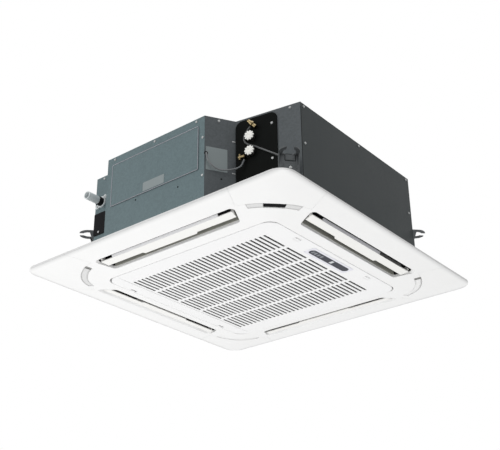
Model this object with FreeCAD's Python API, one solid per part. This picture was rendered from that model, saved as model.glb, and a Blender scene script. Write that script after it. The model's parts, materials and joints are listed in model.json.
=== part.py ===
import FreeCAD, Part
import math
import os

Vector = FreeCAD.Vector
origin = Vector(0, 0, 0)
upward = Vector(0, 0, 1)

# Millimetres. z = 0 is the ceiling line, the top edge of the panel's rim.
# Front is -Y, right is +X. The pipe recess is the corner between them.

# Ceiling panel
panel_size = 950.0
panel_corner_radius = 45.0
rim_height = 5.0
rim_wall = 3.0
panel_skin = 3.6
crown_slope = 0.1325
collar_top = 14.0
seal_thickness = 2.0

# Removable corner covers and the curved slots beside them
cover_skin = 2.4
cover_gap = 0.3
cover_shelf = 2.4
shelf_lap = 6.0
seam_margin = 5.0
arc_centre = 244.0
arc_radius = 150.0
arc_width = 20.0
arc_half_angle = 27.5
arc_depth = 3.5
trough_wall = 2.0
insert_half_angle = 11.0
insert_end_angle = 2.5
insert_thickness = 0.9
insert_fit = 0.3
access_hole_radius = 22.0
access_hole_reach = 200.0

# Air outlets and their flaps
outlet_outer = 403.0
outlet_inner = 340.0
outlet_outer_half = 260.0
outlet_inner_half = 230.0
outlet_corner_radius = 12.0
collar_wall = 2.5
lining = 1.0
lining_fit = 0.05
lining_rise = 8.0
lining_bore = 4.5
flap_outer_gap = 16.0
flap_inner_gap = 22.0
flap_end_gap = 4.5
flap_end_shift = 15.0
flap_recess = 1.5
flap_thickness = 2.5
tongue_half = 95.0
tongue_reach = 6.0
lip_half = 195.0
lip_reach = 4.0
lip_height = 8.0
lip_thickness = 1.8
pivot_setback = 23.0
pivot_z = -2.0
pivot_radius = 3.0
pivot_fit = 0.06
ear_thickness = 4.0
ear_radius = 4.5
ear_inset = 7.0
spine_width = 2.5
spine_height = 4.0

# Flap swing motors
swing_motor_radius = 9.5
swing_motor_length = 18.0
swing_motor_gap = 1.5
swing_flange = 2.0
swing_ear_reach = 22.0
swing_ear_half_height = 6.0
post_width = 8.0
post_length = 6.0

# Intake opening and grille door
intake_size = 614.0
intake_corner_radius = 30.0
intake_wall = 3.0
door_gap = 1.0
hinge_gap = 2.0
door_corner_radius = 39.0
door_proud = 0.7
door_skin = 3.0
door_lip = 6.0
door_depth = 14.0
slot_columns = 32
slot_rows = 5
slot_pitch = 15.6
slot_width = 7.2
slot_shift = -8.0
groove_x = -263.0
groove_width = 1.4
groove_depth = 0.8
slot_length = 90.0
row_pitch = 101.0
rib_width = 4.0
rib_height = 8.0
hinge_span = 200.0
hinge_lug_half = 9.0
hinge_notch_half = 12.0
hinge_notch_depth = 11.0
hinge_setback = 3.0
hinge_rise = 3.5
hinge_pin_radius = 1.5
hinge_pin_reach = 8.0
hinge_fit = 0.06

# Grille latches, shown drawn back
latch_offset = 170.0
latch_setback = 22.0
latch_length = 26.0
latch_width = 30.0
latch_height = 5.0
latch_travel = 6.0
latch_tongue_width = 18.0
latch_tongue_height = 3.0
latch_fit = 0.3
button_length = 8.0
button_width = 22.0

# Display on the grille's border
display_x = 271.5
display_side = 8.5
display_end = 8.0
display_corner = 6.0
display_height = 15.0
display_fit = 0.2
window_width = 23.0
window_length = 178.0
window_thickness = 1.6
bezel_proud = 0.6

# Air filter
filter_frame_width = 8.0
filter_height = 6.0
filter_bars = 7
filter_bar_width = 2.0
filter_net = 2.0

# Cabinet
cabinet_size = 776.0
cabinet_bottom = 16.0
cabinet_height = 298.0
sheet = 1.2
hanger_leg = 42.0
corner_shelf = 52.0
corner_step = 59.0
notch_front_setback = 242.0
notch_apex_setback = 197.0
notch_apex_depth = 79.0
notch_right_setback = 113.0
notch_rise = 30.0
top_flange = 18.0
top_fit = 0.2
bead_height = 3.0
bead_width = 22.0
bead_length = 150.0
bead_start = 150.0
liner_thickness = 5.0

# Access cover on the front plate
access_margin = 21.0
access_low_margin = 104.0
access_high_margin = 26.0
access_height = 2.0
access_bevel = 3.0

# Hanger brackets
bracket_width = 56.0
bracket_rise = 10.0
bracket_height = 115.5
bracket_thickness = 3.0
lug_reach = 46.0
lug_slot_width = 34.0
lug_mouth = 20.0
lug_root = 7.0
gusset_reach = 14.0
gusset_drop = 32.0
tab_half = 13.0
tab_height = 22.0
tab_drop = 30.0
tab_thickness = 2.0

# Drain corner
spigot_setback = 69.0
spigot_drop = 88.0
spigot_radius = 12.5
spigot_bore = 10.0
spigot_length = 61.0
spigot_inside = 14.0
flange_thickness = 4.0
flange_hub = 18.0
flange_ear = 6.5
flange_ear_x = 15.5
flange_ear_z = 13.5
pump_cover_width = 46.0
pump_cover_shift = -3.0
pump_cover_height = 72.0
pump_cover_drop = 36.0
pump_cover_thickness = 3.0

# Pipe recess: seal plate, water connections and valves
seal_plate_start = 1.5
seal_plate_end = 129.0
seal_plate_drop = 7.0
seal_plate_corner = 20.0
seal_plate_thickness = 3.0
pipe_s = 50.0
return_drop = 68.0
pipe_pitch = 47.0
pipe_radius = 11.0
pipe_bore = 8.5
pipe_outside = 14.0
pipe_fit = 0.4
collar_hex = 13.0
collar_hex_length = 1.2
cap_radius = 13.2
cap_lobes = 10
cap_lobe_radius = 2.8
cap_start = 4.6
cap_length = 12.4
cap_fit = 0.08
header_radius = 13.0
header_depth = 42.0
header_gap = 0.3
header_reach = 19.0
header_top_drop = 26.0
header_foot_rise = 34.0
feeder_margin = 14.0
return_feeder_pitch = 16.0
supply_feeder_pitch = 44.0
feeder_radius = 5.0
vent_s = 58.0
vent_drop = 33.0
vent_reach = 12.0
vent_radius = 5.5
vent_half_length = 17.0
vent_tilt = -49.0
vent_hex = 8.0
valve_s = 31.0
valve_drop = 13.0
valve_reach = 14.0
valve_radius = 4.5
valve_length = 16.0
handle_radius = 3.2
handle_half = 9.0
handle_hub = 4.2
handle_fit = 0.3

# Screws with hexagon heads
screw_radius = 3.5
screw_head = 2.0
screw_front_s = -44.0
screw_cable_s = 41.0
screw_right_s = 9.0
screw_pipe_margin = 40.0
screw_front_rise = 82.0
screw_seal_drop = 35.0
screw_seal_low = 28.0
screw_edge = 9.0
screw_margin = 15.0
screw_above_bracket = 48.5

# Cable loop and vent hose
cable_radius = 2.2
hose_radius = 2.4

# Drain pan and bell mouth
pan_height = 30.0
pan_opening = 524.0
pan_opening_radius = 40.0
pan_wall = 12.0
pan_channel_floor = 14.0
duct_width = 30.0
mouth_plate = 2.5
mouth_plate_size = 564.0
mouth_plate_corner = 40.0
mouth_radius = 150.0
mouth_flare = 58.0
mouth_height = 66.0
mouth_bend = 0.2
mouth_neck = 0.42

# Coil
air_passage = 70.0
coil_depth = 44.0
coil_skin = 2.4
coil_corner = 100.0
coil_top_drop = 34.0
coil_lift = 4.0
coil_end_gap = 8.0
coil_right_gap = 23.0

# Fan and motor
fan_radius = 225.0
fan_inlet_radius = 158.0
fan_overlap = 1.5
hub_above_motor = 16.0
fan_plate = 3.0
fan_blades = 7
blade_thickness = 4.0
blade_inner = 140.0
blade_sweep = 38.0
blade_camber = 0.11
blade_clear = 3.0
shroud_neck = 14.0
shroud_neck_height = 34.0
shroud_rise = 52.0
dish_radius = 106.0
dish_depth = 52.0
dish_floor_radius = 36.0
boss_radius = 20.0
boss_drop = 12.0
boss_rise = 10.0
shaft_radius = 6.0
shaft_fit = 0.05
hub_fit = 0.02
motor_radius = 70.0
motor_nose = 8.0
motor_nose_radius = 20.0
motor_edge = 8.0
motor_top_drop = 24.0
motor_height = 58.0
motor_flange_radius = 96.0
motor_flange = 3.0
mount_ring = 84.0
mount_radius = 11.0
nut_radius = 11.0
nut_height = 8.0

# Drain pump and float switch
pump_setback = 44.0
pump_radius = 20.0
pump_drop = 36.0
pump_height = 70.0
strainer_radius = 15.0
outlet_tube_radius = 8.0
pump_seat_gap = 0.3
float_setback = 36.0
float_margin = 19.0
rod_radius = 3.0
float_radius = 10.0
float_height = 12.0
float_fit = 0.08
arm_rise = 46.0
arm_height = 6.0
arm_width = 8.0
stop_radius = 7.0
stop_height = 3.0

# Control box
box_length = 280.0
box_width = 62.0
box_height = 21.0
box_wall = 2.0
box_offset = 254.0
board_thickness = 1.6
board_margin = 6.0
board_lift = 6.0

# Panel screws in gussets at the intake's corners
gusset_leg = 46.0
gusset_thickness = 6.0
panel_screw_inset = 15.0
panel_screw_radius = 3.0
panel_screw_head = 6.0
panel_screw_head_height = 4.0
panel_screw_length = 16.0
panel_screw_fit = 0.2

# Values worked out from the sizes above
panel_half = panel_size / 2
display_width = window_width + 2 * display_side
display_length = window_length + 2 * display_end
intake_half = intake_size / 2
door_half = intake_half - door_gap
cabinet_half = cabinet_size / 2
cabinet_top = cabinet_bottom + cabinet_height
end_slope = (outlet_outer_half - outlet_inner_half) / (outlet_outer - outlet_inner)
duct_outer = cabinet_half - sheet - pan_wall
duct_inner = duct_outer - duct_width
front_half = cabinet_half - hanger_leg - corner_shelf - corner_step
duct_half = front_half - pan_wall
shelf_half = cabinet_half - corner_step
pivot_d = outlet_outer - pivot_setback
pan_top = cabinet_bottom + pan_height
pan_floor = cabinet_bottom + pan_channel_floor
coil_outer = cabinet_half - air_passage
coil_inner = coil_outer - coil_depth
coil_low = pan_floor + coil_lift
notch_floor = cabinet_bottom + notch_rise
notch_x = cabinet_half - notch_front_setback
access_left = -front_half + access_margin
access_right = notch_x - access_margin
access_low = notch_floor + access_low_margin
access_high = cabinet_top - access_high_margin
bracket_low = cabinet_bottom + bracket_rise
bracket_top = bracket_low + bracket_height
spigot_x = -cabinet_half + spigot_setback
spigot_z = cabinet_top - spigot_drop
pump_cover_left = spigot_x + pump_cover_shift - pump_cover_width / 2
pump_cover_right = pump_cover_left + pump_cover_width
pump_cover_high = spigot_z - pump_cover_drop
pump_cover_low = pump_cover_high - pump_cover_height
pump_y = -shelf_half + pump_setback
pump_high = spigot_z - pump_drop
pump_low = pump_high - pump_height
seal_plate_top = cabinet_top - seal_plate_drop
return_z = cabinet_top - return_drop
supply_z = return_z - pipe_pitch
vent_z = cabinet_top - vent_drop
valve_z = supply_z - valve_drop
return_header_low = return_z - header_reach
return_header_high = cabinet_top - header_top_drop
supply_header_low = coil_low + header_foot_rise
supply_header_high = supply_z + header_reach
coil_height = cabinet_top - coil_top_drop - coil_low
coil_front_end = notch_x - coil_end_gap
coil_right_end = -cabinet_half + notch_right_setback + coil_right_gap
fan_low = cabinet_bottom - mouth_plate + mouth_height - fan_overlap
motor_low = cabinet_top - motor_top_drop - motor_height
fan_hub_z = motor_low + hub_above_motor
float_x = -cabinet_half + float_setback
float_y = -shelf_half + hanger_leg + float_margin
arm_z = pan_top + arm_rise


# The panel's lower face at a given distance from the centre
def crown_z(distance):
    return -rim_height - (panel_half - distance) * crown_slope


door_face = crown_z(intake_half) - door_proud
lip_top = door_face + door_depth
door_left = -intake_half + hinge_gap
hinge_x = door_left + hinge_setback
hinge_z = door_face + hinge_rise
display_y = 0.0


# A closed outline of straight runs with rounded corners
def outline(points, radius, z=0.0):
    corners = [Vector(x, y, z) for x, y in points]
    edges = []
    last = None
    first = None
    for i, corner in enumerate(corners):
        back = (corners[i - 1] - corner).normalize()
        ahead = (corners[(i + 1) % len(corners)] - corner).normalize()
        half = math.acos(max(-1.0, min(1.0, back.dot(ahead)))) / 2
        start = corner + back * (radius / math.tan(half))
        end = corner + ahead * (radius / math.tan(half))
        middle = corner + (back + ahead).normalize() * (radius / math.sin(half) - radius)
        if last is not None and (start - last).Length > 1e-6:
            edges.append(Part.LineSegment(last, start).toShape())
        if radius > 0:
            edges.append(Part.Arc(start, middle, end).toShape())
        if first is None:
            first = start
        last = end
    if (first - last).Length > 1e-6:
        edges.append(Part.LineSegment(last, first).toShape())
    return Part.Wire(edges)


def square(half, radius, z=0.0):
    return outline([(-half, -half), (half, -half), (half, half), (-half, half)], radius, z)


def rectangle(x0, x1, y0, y1, radius=0.0, z=0.0):
    return outline([(x0, y0), (x1, y0), (x1, y1), (x0, y1)], radius, z)


def prism(wire, height):
    return Part.Face(wire).extrude(Vector(0, 0, height))


def block(x0, x1, y0, y1, z0, z1):
    return Part.makeBox(x1 - x0, y1 - y0, z1 - z0, Vector(x0, y0, z0))


def rod(radius, start, end):
    return Part.makeCylinder(radius, (end - start).Length, start, end - start)


def hexagon(radius, height, base):
    points = [(radius * math.cos(math.radians(60 * i)), radius * math.sin(math.radians(60 * i)))
              for i in range(6)]
    solid = prism(outline(points, 0.0), height)
    solid.translate(base)
    return solid


def turned(shape, angle, axis=upward, centre=origin):
    copy = shape.copy()
    copy.rotate(centre, axis, angle)
    return copy


def joined(shapes):
    return shapes[0].multiFuse(shapes[1:]).removeSplitter()


def revolved(points):
    wire = Part.makePolygon([Vector(r, 0, z) for r, z in points + points[:1]])
    return Part.Face(wire).revolve(origin, upward, 360)


# A plan outline moved inwards by a depth, with mitred corners
def inset(points, depth):
    moved = []
    for i, (x, y) in enumerate(points):
        px, py = points[i - 1]
        nx, ny = points[(i + 1) % len(points)]
        back = Vector(x - px, y - py, 0).normalize()
        ahead = Vector(nx - x, ny - y, 0).normalize()
        n1 = Vector(-back.y, back.x, 0)
        n2 = Vector(-ahead.y, ahead.x, 0)
        shift = (n1 + n2) * (depth / (1 + n1.dot(n2)))
        moved.append((x + shift.x, y + shift.y))
    return moved


# A frame on an upright face: x along it, y up, z outwards
def face_frame(start, end):
    e = Vector(end[0] - start[0], end[1] - start[1], 0).normalize()
    n = e.cross(upward)
    matrix = FreeCAD.Matrix(e.x, 0, n.x, start[0], e.y, 0, n.y, start[1], 0, 1, 0, 0, 0, 0, 0, 1)
    return FreeCAD.Placement(matrix)


def placed(shape, frame):
    copy = shape.copy()
    copy.Placement = frame.multiply(copy.Placement)
    return copy


# Cabinet plan, counter-clockwise from above
def hanger_corner(sx, sy):
    return [(sx * front_half, sy * cabinet_half),
            (sx * (front_half + corner_step), sy * shelf_half),
            (sx * (cabinet_half - hanger_leg), sy * shelf_half),
            (sx * cabinet_half, sy * (shelf_half - hanger_leg))]


notch = [(cabinet_half - notch_front_setback, -cabinet_half),
         (cabinet_half - notch_apex_setback, -cabinet_half + notch_apex_depth),
         (cabinet_half, -cabinet_half + notch_right_setback)]
near_corner = hanger_corner(1, -1)
right_corner = hanger_corner(1, 1)[::-1]
far_corner = hanger_corner(-1, 1)
left_corner = hanger_corner(-1, -1)[::-1]
lower_plan = near_corner + right_corner + far_corner + left_corner
upper_plan = notch + right_corner + far_corner + left_corner

front_face = face_frame((0, -cabinet_half), (1, -cabinet_half))
right_face = face_frame((cabinet_half, 0), (cabinet_half, 1))
rear_face = face_frame((0, cabinet_half), (-1, cabinet_half))
left_face = face_frame((-cabinet_half, 0), (-cabinet_half, -1))
drain_face = face_frame((0, -shelf_half), (1, -shelf_half))
cable_face = face_frame(notch[0], notch[1])
pipe_face = face_frame(notch[1], notch[2])


# The panel
def crown(lift, edge):
    low = square(intake_half, intake_corner_radius, crown_z(intake_half) + lift)
    rim = square(panel_half - edge, panel_corner_radius - edge, -rim_height + lift)
    slope = Part.makeLoft([rim, low], True, True)
    wall = Part.Face(rim).extrude(Vector(0, 0, collar_top + rim_height - lift))
    return slope.fuse(wall)


def outlet_half(distance):
    return outlet_inner_half + (distance - outlet_inner) * end_slope


# The outlet of the front side at one height, grown by a wall
def outlet_wire(outer, grow, z):
    spread = grow * math.hypot(1, end_slope)
    far = outer + grow
    near = outlet_inner - grow
    a = outlet_half(far) + spread
    b = outlet_half(near) + spread
    points = [(-a, -far), (a, -far), (b, -near), (-b, -near)]
    return outline(points, outlet_corner_radius + grow, z)


def outlet_duct(grow, low, high):
    lean = (outlet_outer - duct_outer) / (collar_top - crown_z(outlet_outer))

    def edge(z):
        return duct_outer + (collar_top - z) * lean

    return Part.makeLoft([outlet_wire(edge(low), grow, low), outlet_wire(edge(high), grow, high)],
                         True, True)


def polar(radius, angle):
    a = math.radians(angle)
    return Vector(arc_centre + radius * math.cos(a), arc_centre + radius * math.sin(a), 0)


def arc_edge(radius, start, end):
    return Part.Arc(polar(radius, start), polar(radius, (start + end) / 2), polar(radius, end)).toShape()


def arc_band(inner, outer, half_angle, middle=45.0):
    low = middle - half_angle
    high = middle + half_angle
    return Part.Wire([arc_edge(inner, low, high),
                      Part.LineSegment(polar(inner, high), polar(outer, high)).toShape(),
                      arc_edge(outer, high, low),
                      Part.LineSegment(polar(outer, low), polar(inner, low)).toShape()])


# Plan of the right corner's cover: two seams in line with the outlet ends, and the arc
def cover_plan():
    outer = arc_radius + arc_width / 2
    reach = panel_half + 10
    seam = outlet_outer_half + seam_margin
    a = Vector(reach, seam + (reach - outlet_outer) * end_slope, 0)
    b = Vector(outlet_outer, seam, 0)
    c = Vector(seam, outlet_outer, 0)
    d = Vector(a.y, a.x, 0)
    e = Vector(reach, reach, 0)
    low = 45 - arc_half_angle
    high = 45 + arc_half_angle
    runs = [(a, b), (b, polar(outer, low)), (polar(outer, high), c), (c, d), (d, e), (e, a)]
    edges = [Part.LineSegment(p, q).toShape() for p, q in runs]
    edges.insert(2, arc_edge(outer, low, high))
    return Part.Face(Part.Wire(edges))


def upright(face, z0=-60.0, height=120.0):
    solid = face.extrude(Vector(0, 0, height))
    solid.translate(Vector(0, 0, z0))
    return solid


# Where a swing motor's flange starts along the outlet
def motor_start():
    end = outlet_half(pivot_d + swing_ear_reach) + collar_wall * math.hypot(1, end_slope)
    return end + swing_motor_gap


def swing_motor():
    start = motor_start()
    body = rod(swing_motor_radius, Vector(start, -pivot_d, pivot_z),
               Vector(start + swing_flange + swing_motor_length, -pivot_d, pivot_z))
    flange = block(start, start + swing_flange, -pivot_d - swing_ear_reach, -pivot_d + swing_ear_reach,
                   pivot_z - swing_ear_half_height, pivot_z + swing_ear_half_height)
    return joined([body, flange])


def motor_posts():
    start = motor_start() + swing_flange
    posts = []
    for side in (-1, 1):
        middle = -pivot_d + side * (swing_ear_reach - post_width / 2)
        posts.append(block(start, start + post_length, middle - post_width / 2, middle + post_width / 2,
                           -60, pivot_z + swing_ear_half_height))
    return posts


def hinge_axis(span, reach):
    return Vector(hinge_x, span - reach, hinge_z), Vector(hinge_x, span + reach, hinge_z)


def panel_screw_places():
    at = intake_half - panel_screw_inset
    return [(sx * at, sy * at) for sx in (-1, 1) for sy in (-1, 1)]


def panel_frame():
    whole = crown(0, 0)
    ceiling = block(-panel_half, panel_half, -panel_half, panel_half, -100, 0)
    skin = whole.cut(crown(panel_skin, rim_wall)).common(ceiling)
    opening = prism(square(intake_half, intake_corner_radius, -60), 120)
    walls = [prism(square(intake_half + intake_wall, intake_corner_radius + intake_wall, -60),
                   60 + collar_top)]
    for k in range(4):
        walls.append(turned(outlet_duct(collar_wall, -40, collar_top), 90 * k))
        walls += [turned(post, 90 * k) for post in motor_posts()]
    walls = [wall.common(whole) for wall in walls]
    plan = cover_plan()
    gap = cover_skin + cover_gap
    shelf = crown(gap, rim_wall).cut(crown(gap + cover_shelf, rim_wall)).common(ceiling)
    half_band = arc_width / 2 + trough_wall
    angle = arc_half_angle + 1
    trough = crown(gap, rim_wall).cut(crown(arc_depth + trough_wall, rim_wall))
    around = Part.Face(arc_band(arc_radius - half_band, arc_radius + half_band, angle))
    trough = trough.common(upright(around))
    shelf = shelf.common(upright(plan.makeOffset2D(shelf_lap)))
    shelf = shelf.fuse(trough)
    reach = polar(access_hole_reach, 45)
    shelf = shelf.cut(rod(access_hole_radius, Vector(reach.x, reach.y, -60), Vector(reach.x, reach.y, 20)))
    half = arc_width / 2
    band = Part.Face(arc_band(arc_radius - half, arc_radius + half, arc_half_angle))
    slot = upright(band).cut(crown(arc_depth, rim_wall))
    cover_space = upright(plan).cut(crown(gap, rim_wall))
    cuts = [turned(cover_space, 90 * k) for k in range(4)]
    pieces = [skin] + walls + [turned(shelf, 90 * k) for k in range(4)]
    for sx, sy in ((-1, -1), (-1, 1), (1, -1), (1, 1)):
        leg = [(sx * (intake_half + 1), sy * (intake_half + 1)),
               (sx * (intake_half + 1), sy * (intake_half - gusset_leg)),
               (sx * (intake_half - gusset_leg), sy * (intake_half + 1))]
        pieces.append(prism(outline(leg, 0.0, collar_top - gusset_thickness), gusset_thickness))
    for k in range(4):
        cuts.append(turned(outlet_duct(0, -40, collar_top + 1), 90 * k))
        cuts.append(turned(slot, 90 * k))
        bore = rod(pivot_radius + pivot_fit, Vector(-motor_start(), -pivot_d, pivot_z),
                   Vector(motor_start(), -pivot_d, pivot_z))
        cuts.append(turned(bore, 90 * k))
    frame = joined([piece.cut(opening) if i <= len(walls) else piece for i, piece in enumerate(pieces)])
    for span in (-hinge_span, hinge_span):
        lug = block(-intake_half - 1, hinge_x + hinge_setback - 0.5, span - hinge_lug_half,
                    span + hinge_lug_half, door_face + 0.5, hinge_z + hinge_rise + 1)
        frame = frame.fuse(lug)
        cuts.append(rod(hinge_pin_radius, *hinge_axis(span, hinge_lug_half + 1)))
    for span in (-latch_offset, latch_offset):
        low, high = latch_tongue_range()
        side = latch_tongue_width / 2 + latch_fit
        cuts.append(block(intake_half - 1, intake_half + intake_wall + 1, span - side, span + side,
                          low - latch_fit, high + latch_fit))
    for x, y in panel_screw_places():
        cuts.append(rod(panel_screw_radius + panel_screw_fit, Vector(x, y, 0), Vector(x, y, collar_top + 1)))
    return frame.cut(Part.makeCompound(cuts)).removeSplitter()


# Black foam linings inside the outlets
def outlet_lining():
    outer = outlet_duct(-lining_fit, -40, collar_top)
    ring = outer.cut(outlet_duct(-lining_fit - lining, -41, collar_top + 1))
    ring = ring.common(crown(lining_rise, rim_wall))
    reach = motor_start()
    return ring.cut(rod(lining_bore, Vector(-reach, -pivot_d, pivot_z), Vector(reach, -pivot_d, pivot_z)))


# A black insert lying on the floor of a corner's slot
def slot_insert(half_angle, middle):
    half_band = arc_width / 2 - insert_fit
    layer = crown(arc_depth - insert_thickness, rim_wall).cut(crown(arc_depth - insert_fit / 3, rim_wall))
    return layer.common(upright(Part.Face(arc_band(arc_radius - half_band, arc_radius + half_band,
                                                   half_angle, middle))))


def dark_linings():
    pieces = [turned(outlet_lining(), 90 * k) for k in range(4)]
    edge = arc_half_angle - insert_end_angle - 1
    pieces.append(turned(slot_insert(insert_half_angle, 45), 270))
    pieces.append(slot_insert(insert_end_angle, 45 - edge))
    pieces.append(turned(slot_insert(insert_end_angle, 45 + edge), 180))
    return Part.makeCompound(pieces)


def corner_cover(k):
    skin = crown(0, 0).cut(crown(cover_skin, rim_wall))
    ceiling = block(-panel_half, panel_half, -panel_half, panel_half, -100, 0)
    cover = skin.common(ceiling).common(upright(cover_plan().makeOffset2D(-cover_gap)))
    return turned(cover, 90 * k)


def flap(k):
    outer = outlet_outer - flap_outer_gap
    inner = outlet_inner + flap_inner_gap
    a = outlet_half(outer - flap_end_shift) - flap_end_gap * math.hypot(1, end_slope)
    b = outlet_half(inner) - flap_end_gap * math.hypot(1, end_slope)
    step = tongue_half + tongue_reach
    tip = inner - tongue_reach
    points = [(-a, -outer), (a, -outer), (b, -inner), (step, -inner), (tongue_half, -tip),
              (-tongue_half, -tip), (-step, -inner), (-b, -inner)]
    plan = prism(outline(points, 0.0, -60), 120)
    low = flap_recess
    high = flap_recess + flap_thickness
    section = [Vector(-a, -outer, crown_z(outer) + low), Vector(-a, -outer, crown_z(outer) + high),
               Vector(-a, -tip, crown_z(tip) + high), Vector(-a, -tip, crown_z(tip) + low)]
    slab = Part.Face(Part.makePolygon(section + section[:1])).extrude(Vector(2 * a, 0, 0))
    plate = slab.common(plan)
    foot = crown_z(outer) + low
    lip = [Vector(-lip_half, -outer, foot), Vector(-lip_half, -outer - lip_reach, foot + lip_height),
           Vector(-lip_half, -outer - lip_reach + lip_thickness, foot + lip_height),
           Vector(-lip_half, -outer + lip_thickness + 1, foot)]
    plate = plate.fuse(Part.Face(Part.makePolygon(lip + lip[:1])).extrude(Vector(2 * lip_half, 0, 0)))
    base = crown_z(pivot_d) + high
    ear_end = outlet_half(pivot_d - ear_radius) - ear_inset
    pieces = [plate, block(-ear_end, ear_end, -pivot_d - spine_width / 2, -pivot_d + spine_width / 2,
                           base - 1.5, base + spine_height)]
    for side in (-1, 1):
        start = side * (ear_end - ear_thickness)
        x0, x1 = sorted((start, side * ear_end))
        pieces.append(block(x0, x1, -pivot_d - ear_radius, -pivot_d + ear_radius, base - 1.2, pivot_z))
        pieces.append(rod(ear_radius, Vector(x0, -pivot_d, pivot_z), Vector(x1, -pivot_d, pivot_z)))
    pin_end = motor_start() - 0.5
    free_end = outlet_half(pivot_d) + collar_wall * 2 + pivot_radius
    for start, end in ((ear_end - 1, pin_end), (1 - ear_end, -free_end)):
        pieces.append(rod(pivot_radius, Vector(start, -pivot_d, pivot_z), Vector(end, -pivot_d, pivot_z)))
    return turned(joined(pieces), 90 * k)


# Foam strips between the panel's collars and the cabinet
def panel_seal():
    wide = square(intake_half + intake_wall, intake_corner_radius + intake_wall, collar_top)
    ring = prism(wide, seal_thickness)
    strips = [ring.cut(prism(square(intake_half, intake_corner_radius, collar_top - 1), seal_thickness + 2))]
    outer = prism(outlet_wire(duct_outer, collar_wall, collar_top), seal_thickness)
    inner = prism(outlet_wire(duct_outer, 0, collar_top - 1), seal_thickness + 2)
    strips += [turned(outer.cut(inner), 90 * k) for k in range(4)]
    return Part.makeCompound(strips)


def panel_screws():
    screws = []
    for x, y in panel_screw_places():
        seat = collar_top - gusset_thickness
        shank = rod(panel_screw_radius, Vector(x, y, seat - 1), Vector(x, y, seat + panel_screw_length))
        foot = Vector(x, y, seat - panel_screw_head_height)
        head = hexagon(panel_screw_head, panel_screw_head_height, foot)
        screws.append(joined([head, shank]))
    return Part.makeCompound(screws)


# The grille door
def latch_tongue_range():
    low = lip_top - latch_height - 2
    return low, low + latch_tongue_height


def slot_places():
    for i in range(slot_columns):
        for j in range(slot_rows):
            x = slot_shift + (i - (slot_columns - 1) / 2) * slot_pitch
            yield x, (j - (slot_rows - 1) / 2) * row_pitch


def door_outline(margin, z):
    side = door_half - margin
    return rectangle(door_left + margin, side, -side, side, door_corner_radius - margin, z)


def intake_grille():
    field = (slot_columns * slot_pitch) / 2
    wires = [door_outline(0, door_face)]
    for x, y in slot_places():
        wires.append(rectangle(x - slot_width / 2, x + slot_width / 2, y - slot_length / 2,
                               y + slot_length / 2, 0.0, door_face))
    x0 = display_x - display_width / 2
    x1 = display_x + display_width / 2
    y0 = display_y - display_length / 2
    y1 = display_y + display_length / 2
    wires.append(rectangle(x0, x1, y0, y1, display_corner, door_face))
    button_x = door_half - latch_setback
    for span in (-latch_offset, latch_offset):
        wires.append(rectangle(button_x - button_length / 2 - latch_fit,
                               button_x + button_length / 2 + latch_travel + latch_fit,
                               span - button_width / 2 - latch_fit, span + button_width / 2 + latch_fit,
                               0.0, door_face))
    face = Part.makeFace(wires, "Part::FaceMakerBullseye")
    door = face.extrude(Vector(0, 0, door_skin))
    lip = prism(door_outline(0, door_face + door_skin - 0.5), door_depth - door_skin + 0.5)
    lip = lip.cut(prism(door_outline(door_lip, door_face), 60))
    pieces = [door, lip]
    for j in range(slot_rows + 1):
        y = (j - slot_rows / 2) * row_pitch
        pieces.append(block(slot_shift - field, slot_shift + field, y - rib_width / 2, y + rib_width / 2,
                            door_face + door_skin - 0.5, door_face + door_skin + rib_height))
    door = joined(pieces)
    cuts = [block(groove_x - groove_width / 2, groove_x + groove_width / 2, -door_half + 2 * door_lip,
                  door_half - 2 * door_lip, door_face - 1, door_face + groove_depth)]
    for span in (-hinge_span, hinge_span):
        cuts.append(block(door_left - 1, door_left + hinge_notch_depth, span - hinge_notch_half,
                          span + hinge_notch_half, door_face - 1, lip_top + 1))
        ends = hinge_axis(span, hinge_notch_half + hinge_pin_reach + 1)
        cuts.append(rod(hinge_pin_radius + hinge_fit, *ends))
    low, high = latch_tongue_range()
    for span in (-latch_offset, latch_offset):
        cuts.append(block(door_half - door_lip - 1, door_half + 1, span - latch_tongue_width / 2 - latch_fit,
                          span + latch_tongue_width / 2 + latch_fit, low - latch_fit, high + latch_fit))
    return door.cut(Part.makeCompound(cuts))


def grille_hinge_pins():
    pins = []
    for span in (-hinge_span, hinge_span):
        pins.append(rod(hinge_pin_radius, *hinge_axis(span, hinge_notch_half + hinge_pin_reach)))
    return Part.makeCompound(pins)


def grille_latch(span):
    low, high = latch_tongue_range()
    base = door_face + door_skin
    tip = door_half - 0.5
    button_x = door_half - latch_setback
    heel = tip - door_lip - latch_fit - latch_length
    slider = block(heel, tip - door_lip - latch_travel - latch_fit, span - latch_width / 2,
                   span + latch_width / 2, base, high)
    tongue = block(heel, tip, span - latch_tongue_width / 2, span + latch_tongue_width / 2, low, high)
    button = block(button_x - button_length / 2, button_x + button_length / 2, span - button_width / 2,
                   span + button_width / 2, door_face + 0.1, base + 1)
    return joined([slider, tongue, button])


def display_housing():
    x0 = display_x - display_width / 2 + display_fit
    x1 = display_x + display_width / 2 - display_fit
    half = display_length / 2 - display_fit
    low = door_face - bezel_proud
    body = prism(rectangle(x0, x1, display_y - half, display_y + half, display_corner - display_fit, low),
                 display_height)
    return body.cut(window_solid(display_fit))


def window_solid(grow):
    half_width = window_width / 2 + grow
    half_length = window_length / 2 + grow
    wire = rectangle(display_x - half_width, display_x + half_width, display_y - half_length,
                     display_y + half_length, half_width - 0.01, door_face - bezel_proud - grow)
    return prism(wire, window_thickness + grow)


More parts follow.
